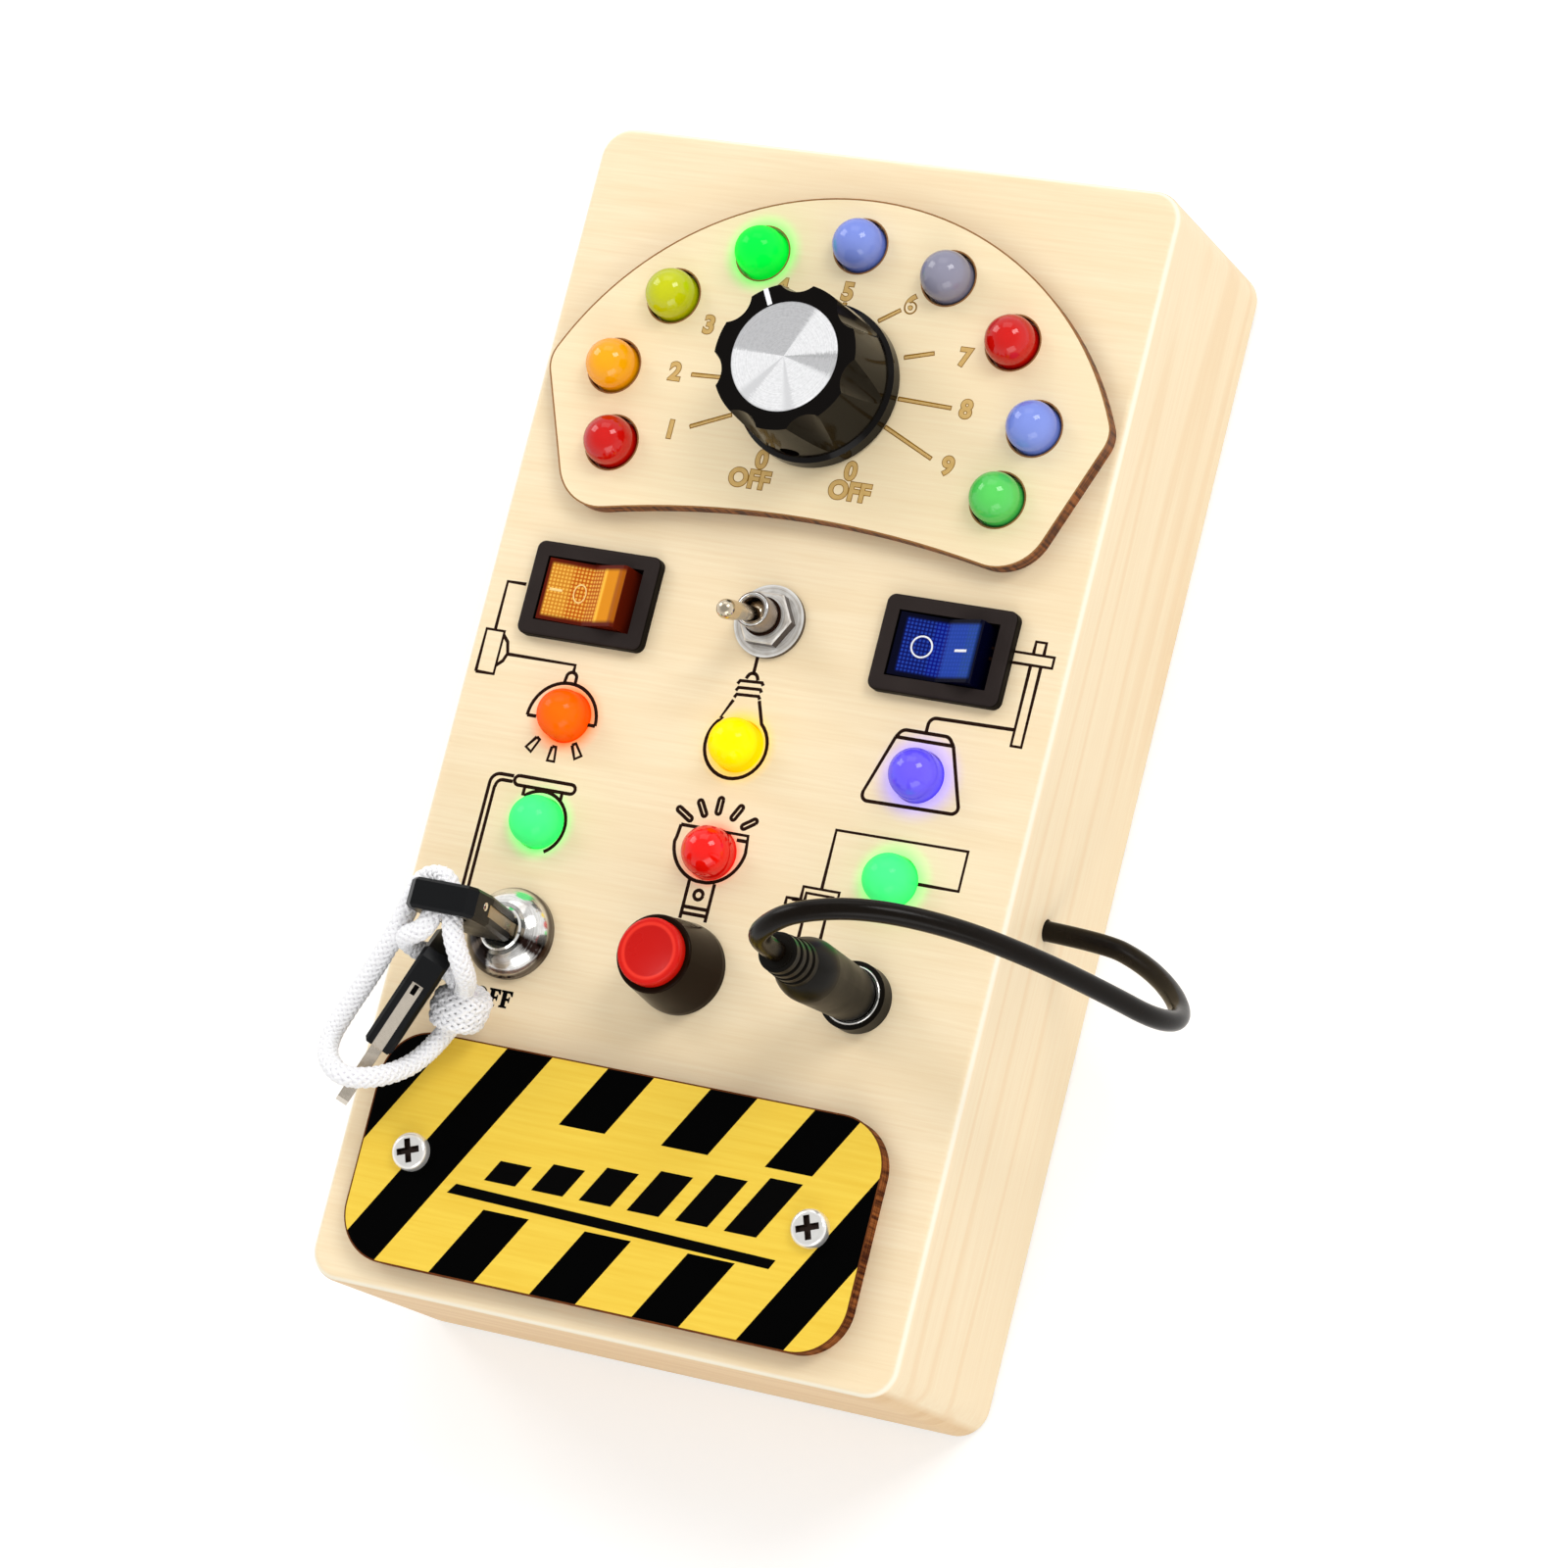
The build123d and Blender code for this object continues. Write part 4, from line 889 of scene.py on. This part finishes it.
dress(nickel, "rotary_switch_body", "lock_rotor", "jack_ring", "plug_sleeve", "panel_nuts")
dress(steel, "rotary_switch_shaft", "knob_set_screw", "switch_terminals", "back_cover_screws")
dress(screwHeads, "power_plate_screws")
dress(spunAluminium, "dial_knob_cap")
dress(nutNickel, "toggle_washer", "toggle_nut")
dress(bushNickel, "toggle_body")
dress(leverNickel, "toggle_lever")
dress(lockNickel, "lock_body")
dress(keySteel, "key_blade")
dress(spareSteel, "spare_key_blade")
dress(springSteel, "battery_contacts")
dress(paddleMaterial("amber_paddle", amberPaddle), "rocker_left_paddle")
dress(paddleMaterial("blue_paddle", bluePaddle), "rocker_right_paddle")
dress(plastic["black_bakelite"], "dial_knob")
dress(plastic["charcoal_plastic"], "rocker_left_housing", "rocker_right_housing")
dress(plastic["key_plastic"], "key_bow", "spare_key_bow")
dress(plastic["collar_brown"], "button_housing")
dress(plastic["button_red"], "button_cap")
dress(plastic["plug_rubber"], "jack_body", "plug_body")
dress(plastic["box_plastic"], "battery_box", "battery_door")
dress(plastic["battery_jacket"], "batteries")
dress(plastic["board_green"], "circuit_board")
dress(plastic["wire_red"], "battery_wires")
print("switches, lock, plug and inner parts dressed")


def makeSpring():
    spring = newObject("return_spring", nodes["button_spring"].data.copy())
    weld(spring)
    finishPiece(spring, "return_spring", "root", springSteel, ("button_spring",))
    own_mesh(spring)


makeSpring()


# Drawings burnt into the face: thin lines in board millimetres, from the face's lower left corner.
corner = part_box("front_panel")[0]


def onBoard(x, y):
    return corner.x + x * mm, corner.y + y * mm, 0


def arc(centre, radius, start, end, steps=16):
    angles = [math.radians(start + (end - start) * step / steps) for step in range(steps + 1)]
    return [(centre[0] + radius * math.cos(a), centre[1] + radius * math.sin(a)) for a in angles]


def rectangle(x0, y0, x1, y1):
    return [(x0, y0), (x1, y0), (x1, y1), (x0, y1), (x0, y0)]


def capsule(start, end, width):
    along = math.degrees(math.atan2(end[1] - start[1], end[0] - start[0]))
    points = arc(start, width / 2, along + 90, along + 270, 6)
    points += arc(end, width / 2, along - 90, along + 90, 6)
    return points + points[:1]


def inkLines(name, lines, width, z, material):
    curve = newCurve(name, width)
    curve.use_fill_caps = True
    for line in lines:
        addLine(curve, [onBoard(*point) for point in line])
    piece = asMesh(newObject(name, curve))
    settle(piece, z, 0.16)
    finishPiece(piece, name, "root", material)


def inkMaterial(name, dark, pale):
    material = newMaterial(name, {"Roughness": 0.6, "Specular IOR Level": 0.03})
    fleck = speck(material, 1300)
    feed(material, "Base Color", blendColours(material, fleck, dark, pale))
    return material


burntInk = inkMaterial("burnt_line", "1A0D08", "301A10")
goldenInk = inkMaterial("golden_burn", "7A5214", "A67A2A")
paleInk = inkMaterial("pale_burn", "C79F58", "DDBB7C")
blackInk = inkMaterial("black_print", "010101", "040303")
whitePrint = inkMaterial("white_print", "E8E8EC", "FFFFFF")
amberPrint = inkMaterial("amber_print", "F0C878", "FFDC96")

sconceDrawing = [
    [(7, 112.8), (3.7, 112.8), (3.7, 105)],
    rectangle(2.2, 97.8, 5.4, 104.8),
    [(5.4, 104.2), (6.4, 103.2), (6.9, 101.4), (6.4, 100.1), (5.4, 99.2)],
    [(6.9, 101.3), (19, 101.3), (19, 100.2)],
    [(17.9, 98.2)] + arc((18.9, 99.2), 0.9, 160, 20, 8) + [(19.8, 98.2)],
    arc((19, 92.3), 6, 0, 180, 24),
    [(13, 92.3), (14.6, 92.3)],
    [(23.4, 92.3), (25, 92.3)],
]
ray = [(-0.35, 1.2), (0.35, 1.2), (0.62, -1.1), (-0.62, -1.1), (-0.35, 1.2)]
for x, y, lean in ((15.3, 87.9, -32), (19, 86.8, 0), (22.9, 87.9, 32)):
    turn = Matrix.Rotation(math.radians(lean), 2)
    sconceDrawing.append([tuple(Vector((x, y)) + turn @ Vector(point)) for point in ray])

bulbDrawing = [
    [(49.2, 107.5), (49.2, 104.3)],
    [(48.2, 103.6)] + arc((49.2, 103.7), 0.9, 160, 20, 6) + [(50.2, 103.6)],
    [(47.0, 100.0), (45.6, 97.0)] + arc((49.3, 93), 5.2, 130, 410, 30) + [(51.3, 100.5)],
]
for turn in range(3):
    y = 100.4 + 1.1 * turn
    bulbDrawing.append([(47.0, y), (47.3, y + 0.55), (51.0, y + 0.75), (51.3, y + 0.3)])

lanternDrawing = [
    rectangle(83, 112.7, 97.2, 114.4),
    [(93.7, 114.4), (93.7, 116.4), (95.4, 116.4), (95.4, 114.4)],
    [(93.7, 112.7), (93.7, 100), (95.4, 100), (95.4, 112.7)],
    [(93.7, 102.5), (80.9, 102.3)] + arc((80.9, 101.1), 1.2, 90, 180, 6) + [(79.7, 99.8)],
    [(75, 98.5)] + arc((76.6, 98.4), 1.4, 150, 95, 5)
    + arc((82.9, 98.4), 1.4, 85, 30, 5) + [(84.6, 98.5)],
    [(75, 98.5), (84.6, 98.5)],
    [(75, 98.5), (71.9, 89.3)] + arc((72.9, 89.0), 1.0, 165, 270, 6)
    + arc((86.8, 89.2), 1.0, 270, 372, 6) + [(84.6, 98.5)],
]
showerDrawing = [
    [(9.6, 64), (9.6, 80.6)] + arc((11.2, 80.8), 1.6, 180, 90, 6) + [(13.5, 82.4)],
    [(10.6, 64), (10.6, 80.2)] + arc((11.8, 80.4), 1.1, 180, 90, 6) + [(13.5, 81.5)],
    capsule((14.5, 81.85), (23.7, 81.85), 1.5),
    [(15.8, 81.1), (15.8, 79.6)],
    [(22.4, 81.1), (22.4, 79.8)],
    arc((19.3, 75.8), 5.0, -60, 130, 24),
]
torchDrawing = [
    [(43.6, 79.5), (43.4, 77.5)] + arc((49.3, 77.3), 6.1, 185, 262, 12)
    + arc((49.3, 77.3), 6.1, 278, 355, 12) + [(55.1, 79.5), (43.6, 79.5)],
    [(53.4, 78.6), (55.0, 78.6)],
    [(47.3, 71.3), (47.3, 65.2)],
    [(51.6, 71.3), (51.6, 65.2)],
    [(47.3, 67.1), (51.6, 67.1)],
    [(47.3, 66.1), (51.6, 66.1)],
    arc((49.4, 69.2), 0.75, 0, 360, 16),
]
for start, end in (
    ((42.7, 81.8), (44.8, 80.6)),
    ((45.9, 83.4), (47.0, 81.7)),
    ((49.2, 84.3), (49.2, 82.4)),
    ((52.8, 83.6), (51.9, 81.9)),
    ((55.6, 81.9), (54.0, 80.8)),
):
    torchDrawing.append(capsule(start, end, 0.75))
outletDrawing = [
    [(69.2, 73.5), (69.2, 82.8), (91.1, 83), (91.1, 76.8), (84.4, 76.8)],
    [(63.9, 70.2), (63.9, 71.3), (65.9, 71.3)],
    [(66.9, 71.4), (66.9, 72.5), (71.4, 72.5), (71.4, 71.4)],
    [(66.2, 71.2), (66.2, 73.4), (72.2, 73.4), (72.2, 71.2), (71.0, 71.2), (71.0, 65.5)],
    [(64.8, 71.2), (67.4, 71.2), (67.4, 65.5)],
]
faceDrawings = sconceDrawing + bulbDrawing + lanternDrawing
faceDrawings += showerDrawing + torchDrawing + outletDrawing
inkLines("face_drawings", faceDrawings, 0.58, faceZ, burntInk)

ticks = [
    [(29.5, 141), (36, 143.8)], [(27.5, 149.3), (32.5, 149.5)], [(33.0, 157.9), (37.7, 156.6)],
    [(40.3, 164.0), (43.5, 161.8)], [(50.2, 164.0), (50.2, 161.8)], [(56.5, 161.8), (59.7, 164)],
    [(62.3, 156.6), (67, 157.9)], [(63, 150), (72, 149.7)], [(62, 145.3), (70.8, 141.4)],
]
tickLines = []
for tick in ticks:
    start, end = Vector(tick[0]), Vector(tick[1])
    shift = (end - start).orthogonal().normalized() * 0.28
    tickLines.append([start + shift, end + shift, end - shift, start - shift, start + shift])
inkLines("dial_ticks", tickLines, 0.26, plateZ, goldenInk)
inkLines("dial_tick_fills", ticks, 0.5, plateZ - 0.02 * mm, paleInk)


# Outlined figures and words on the plates, and a solid word under the lock.
def letters(words, size, z, outline, weight):
    made = []
    for word, x, y in words:
        pick()
        bpy.ops.object.text_add(location=onBoard(x, y))
        text = bpy.context.object
        text.data.body = word
        text.data.size = size * mm
        text.data.align_x = text.data.align_y = "CENTER"
        text.data.offset = weight * mm
        if outline:
            text.data.fill_mode = "NONE"
            text.data.bevel_depth = outline / 2 * mm
            text.data.bevel_resolution = 1
        else:
            text.data.extrude = 0.03 * mm
        made.append(asMesh(text))
    piece = joinPieces(made, "letters")
    settle(piece, z, 0.2 if outline else 1.0)
    return piece


figures = [
    ("1", 26.3, 140), ("2", 24.6, 149.3), ("3", 28.3, 157.5), ("4", 39, 165), ("5", 50.2, 165.7),
    ("6", 61.2, 165), ("7", 72.2, 157.8), ("8", 74.5, 149.7), ("9", 73.8, 140.5), ("0", 43, 137.3),
    ("OFF", 41.7, 134), ("0", 58.2, 137.5), ("OFF", 58.8, 134.3),
]
finishPiece(letters(figures, 4.0, plateZ, 0.26, 0.14), "dial_figures", "root", goldenInk)
finishPiece(letters(figures, 4.0, plateZ, 0, 0.14), "dial_figure_fills", "root", paleInk)


# Flat printed shapes, from outlines in board millimetres.
def flatPrint(name, shapes, z):
    curve = newCurve(name, 0)
    curve.dimensions = "2D"
    curve.fill_mode = "BOTH"
    curve.extrude = 0.03 * mm
    for shape in shapes:
        addLine(curve, [onBoard(*point) for point in shape], closed=True)
    piece = asMesh(newObject(name, curve))
    settle(piece, z)
    finishPiece(piece, name, "root", blackInk)


# The solid word under the lock, in a bold face with serifs.
wordPlan = {"left": 16.7, "base": 46.4, "height": 2.75, "step": 2.1}
serifLetter = [
    (0, 0), (0.5, 0), (0.5, 0.1), (0.38, 0.13), (0.38, 0.42), (0.5, 0.42), (0.54, 0.32), (0.6, 0.32),
    (0.6, 0.68), (0.54, 0.68), (0.5, 0.57), (0.38, 0.57), (0.38, 0.86), (0.55, 0.86), (0.66, 0.7),
    (0.74, 0.7), (0.73, 1), (0, 1), (0, 0.9), (0.1, 0.86), (0.1, 0.13), (0, 0.1),
]
roundLetter = arc((0, 0), 1, 0, 345, 23)


def wordShape(outline, right, up, width=1.0, height=1.0):
    left, base, size = wordPlan["left"] + right, wordPlan["base"] + up, wordPlan["height"]
    return [(left + x * width * size, base + y * height * size) for x, y in outline]


wordShapes = [wordShape(serifLetter, index * wordPlan["step"], 0) for index in (1, 2)]
for width, height in ((0.42, 0.52), (0.15, 0.4)):
    wordShapes.append(wordShape(roundLetter, 0.75, wordPlan["height"] / 2, width, height))
flatPrint("lock_word", wordShapes, faceZ)

# Rising level marks and a rule in the plate's cleared band.
levelPlan = {
    "count": 6, "start": 27.6, "step": 8.2, "width": 5.4, "base": 19.6, "low": 3.4, "rise": 1.15,
}
levelShapes = [[(22.0, 16.6), (23.2, 18.2), (78.0, 16.9), (77.2, 15.4)]]
for index in range(levelPlan["count"]):
    x = levelPlan["start"] + index * levelPlan["step"]
    y = levelPlan["base"]
    height = levelPlan["low"] + index * levelPlan["rise"]
    lean = stripes["slant"] * height
    right = x + levelPlan["width"]
    levelShapes.append([(x, y), (x + lean, y + height), (right + lean, y + height), (right, y)])
flatPrint("level_marks", levelShapes, plateZ)
print("drawings, figures and marks made")


def cutAway(piece, kind, chosen):
    bpy.ops.object.mode_set(mode="EDIT")
    bpy.ops.mesh.select_mode(type=kind)
    bpy.ops.mesh.select_all(action="DESELECT")
    leaveEdit()
    for item in piece.data.polygons if kind == "FACE" else piece.data.vertices:
        item.select = chosen(item)
    bpy.ops.object.mode_set(mode="EDIT")
    bpy.ops.mesh.delete(type=kind)
    leaveEdit()


# The laser's burnt line round the top of each plate and its holes, from the plate's own edges.
def rimLines(node, z, width, material):
    rim = nodes[node].copy()
    rim.data = rim.data.copy()
    rim.parent = None
    bpy.context.scene.collection.objects.link(rim)
    weld(rim)
    cutAway(rim, "FACE", lambda face: abs(face.normal.z) > 0.5)
    cutAway(rim, "VERT", lambda vertex: vertex.co.z < z - 0.01 * mm)
    bpy.ops.object.convert(target="CURVE")
    rim = bpy.context.object
    rim.data.bevel_depth = width / 2 * mm
    rim.data.bevel_resolution = 1
    rim = asMesh(rim)
    settle(rim, -z)
    settle(rim, z, 0.2)
    finishPiece(rim, node + "_rim", "root", material)


rimLines("dial_plate", plateZ, 0.26, inkMaterial("singed_rim", "80522C", "AE8050"))
rimLines("power_plate", plateZ, 0.24, inkMaterial("burnt_rim", "4A2210", "7A4420"))


# A small bevelled bar, shaped from a cube, laid along a direction at a place.
def bar(centre, size, turn, edge=0.03):
    pick()
    bpy.ops.mesh.primitive_cube_add(size=1, location=centre, rotation=turn)
    piece = bpy.context.object
    piece.scale = Vector(size) * mm
    applyPlace()
    editAll()
    bpy.ops.mesh.bevel(offset=edge * mm, segments=2)
    leaveEdit()
    return piece


# A ring of wire, pressed a little flat.
def ring(centre, radius, wire, turn=(0, 0, 0)):
    pick()
    bpy.ops.mesh.primitive_torus_add(
        major_radius=radius * mm, minor_radius=wire * mm, major_segments=48, minor_segments=8
    )
    editAll()
    bpy.ops.transform.resize(value=(1, 1, 0.85), center_override=(0, 0, 0))
    leaveEdit()
    piece = bpy.context.object
    piece.location, piece.rotation_euler = centre, turn
    applyPlace()
    bpy.ops.object.shade_smooth()
    return piece


# White pointer on the knob's rim.
pointer = {"angle": 120, "reach": 10.35, "size": (2.8, 0.8, 0.12)}
knobTop = middleOf("dial_knob_cap").xy.to_3d()
knobTop.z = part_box("dial_knob")[1].z
pointerTurn = Matrix.Rotation(math.radians(pointer["angle"]), 3, "Z")
pointerPlace = knobTop + pointerTurn @ Vector((pointer["reach"] * mm, 0, 0))
pointerBar = bar(pointerPlace, pointer["size"], pointerTurn.to_euler())
finishPiece(pointerBar, "knob_pointer", "dial", whitePrint)

# A ring and a dash on each rocker.  Places are along the paddle's slopes, from its crease.
rockerSlopes = {"crease": 1.3, "tilt": 11.0, "slope": 16.0}
rockerMarks = {
    "right": {"ring": -3.3, "wide": 3.3, "high": 3.3, "dash": 4.3, "length": 2.7, "ink": whitePrint},
    "left": {"ring": -1.5, "wide": 2.0, "high": 2.9, "dash": -5.6, "length": 2.2, "ink": amberPrint},
}


def slopePoint(centre, along):
    tilt = math.radians(rockerSlopes["tilt"])
    angle = tilt + math.copysign(math.radians(rockerSlopes["slope"]), along)
    x = along * math.cos(angle) - rockerSlopes["crease"] * math.sin(tilt)
    z = along * math.sin(angle) + rockerSlopes["crease"] * math.cos(tilt)
    return Vector((centre.x + x * mm, centre.y, faceZ + z * mm)), (0, -angle, 0)


for side, plan in rockerMarks.items():
    centre = middleOf(f"rocker_{side}_housing")
    place, turn = slopePoint(centre, plan["ring"])
    circle = ring(place, plan["high"] / 2, 0.15, turn)
    editAll()
    stretch = (plan["wide"] / plan["high"], 1, 1)
    bpy.ops.transform.resize(value=stretch, center_override=place)
    leaveEdit()
    place, turn = slopePoint(centre, plan["dash"])
    dash = bar(place, (plan["length"], 0.42, 0.16), turn, 0.04)
    name = f"rocker_{side}_marks"
    finishPiece(joinPieces([circle, dash], name), name, f"rocker_{side}", plan["ink"])

# The toggle's bright mouth, a dark ring of painted shade in the gap where its neck comes through the
# nut, and the bright rim of the jack: each a radius, a wire and a height in millimetres.
neckRings = {
    "toggle_mouth": ("toggle_washer", 2.4, 0.28, 47.42, nickel),
    "toggle_gap_shade": ("toggle_washer", 2.95, 0.2, 43.5, burntInk),
    "jack_rim": ("jack_ring", 4.35, 0.25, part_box("jack_ring")[1].z / mm, nickel),
}
for name, (around, radius, wire, height, finish) in neckRings.items():
    centre = middleOf(around)
    centre.z = height * mm
    finishPiece(ring(centre, radius, wire), name, "root", finish)

# A rivet head holds the bow to the tang on the key's narrow side.
rivet = {"radius": 0.75, "rise": 0.3, "below": 4.4, "aside": 0.3, "sunk": 0.1}


def makeRivet(plan):
    place = middleOf("key_bow")
    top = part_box("key_bow")[1]
    place += Vector((0, plan["aside"] * mm, 0))
    place.x, place.z = top.x - plan["sunk"] * mm, top.z - plan["below"] * mm
    pick()
    bpy.ops.mesh.primitive_uv_sphere_add(
        segments=20, ring_count=12, radius=plan["radius"] * mm, location=place
    )
    head = bpy.context.object
    head.scale.x = plan["rise"]
    applyPlace()
    editAll()
    back = place - Vector((0.05 * mm, 0, 0))
    bpy.ops.mesh.bisect(plane_co=back, plane_no=(1, 0, 0), use_fill=True, clear_inner=True)
    leaveEdit()
    bpy.ops.object.shade_smooth_by_angle()
    finishPiece(head, "key_rivet", "key", nickel)


makeRivet(rivet)

# A flat black bar at the top of the spare key's tang, on the edge that shows.
notch = {
    "place": (-33.8, -50.4, 58.76),
    "size": (1.7, 0.8, 0.12),
    "along": (14.6, 25.2, 7.9),
    "out": (0.312, -0.435, 0.845),
}
along, out = (Vector(notch[way]).normalized() for way in ("along", "out"))
notchTurn = Matrix((along, out.cross(along).normalized(), out)).transposed().to_euler()
notchBar = bar(Vector(notch["place"]) * mm, notch["size"], notchTurn)
finishPiece(notchBar, "spare_key_notch", "key", blackInk)
print("small marks, rims and rivet made")


# Floor, backdrop and light.
def addStage():
    pick()
    bpy.ops.mesh.primitive_plane_add(size=6, location=(0, 0, -0.4 * mm))
    floor = bpy.context.object
    floor.name = "floor"
    tones = {"Base Color": (0.8, 0.8, 0.8, 1), "Emission Color": (1, 1, 1, 1), "Roughness": 0.9}
    material = newMaterial("floor_white", tones)
    path = addNode(material, "LightPath").outputs
    seen = maths(material, "MAXIMUM", path["Is Camera Ray"], path["Is Glossy Ray"])
    seen = maths(material, "MAXIMUM", seen, path["Is Transmission Ray"])
    feed(material, "Emission Strength", product(material, seen, 0.3))
    floor.data.materials.append(material)


# The world lights evenly, is white behind the object, and darkens overhead in reflections.
skyPlan = {"ambient": 0.74, "low": 0.2, "high": 0.85, "bright": 1.0, "dim": 0.5}


def addWorld(plan):
    world = bpy.data.worlds.new("studio")
    world.use_nodes = True
    bpy.context.scene.world = world
    background = world.node_tree.nodes["Background"].inputs
    background["Color"].default_value = (1, 1, 1, 1)
    path = addNode(world, "LightPath").outputs
    height = partsOf(world, addNode(world, "TexCoord").outputs["Generated"])["Z"]
    limits = [plan[key] for key in ("low", "high", "bright", "dim")]
    sky = spread(world, height, *limits, "SMOOTHSTEP")
    strength = plan["ambient"]
    for ray, value in (("Is Glossy Ray", sky), ("Is Transmission Ray", 1.0), ("Is Camera Ray", 1.0)):
        strength = addNode(world, "Mix", {0: path[ray], 2: strength, 3: value}).outputs[0]
    world.node_tree.links.new(strength, background["Strength"])


# Far, wide lamps, so that the light is even over the board.  Watts grow with the square of
# the distance.
lampDistance = 2.8
lampPlans = {
    "window_light": {"towards": (0.50, 0.52, 0.69), "size": (0.85, 1.15), "level": 2.7},
    "left_light": {"towards": (-0.75, 0.42, 0.50), "size": (1.0, 1.4), "level": 2.0},
    "top_light": {"towards": (-0.15, 0.80, 0.60), "size": (1.6, 1.2), "level": 0.8},
    "front_light": {"towards": (0.45, -0.78, 0.45), "size": (1.8, 1.2), "level": 1.8},
}


def addLamp(name, plan):
    lampData = bpy.data.lights.new(name, "AREA")
    lampData.shape = "RECTANGLE"
    lampData.size, lampData.size_y = plan["size"]
    lampData.energy = plan["level"] * lampDistance**2
    lamp = newObject(name, lampData)
    towards = Vector(plan["towards"]).normalized()
    lamp.location = towards * lampDistance
    lamp.rotation_euler = (-towards).to_track_quat("-Z", "Y").to_euler()


addStage()
addWorld(skyPlan)
for name, plan in lampPlans.items():
    addLamp(name, plan)
print("stage and light made")
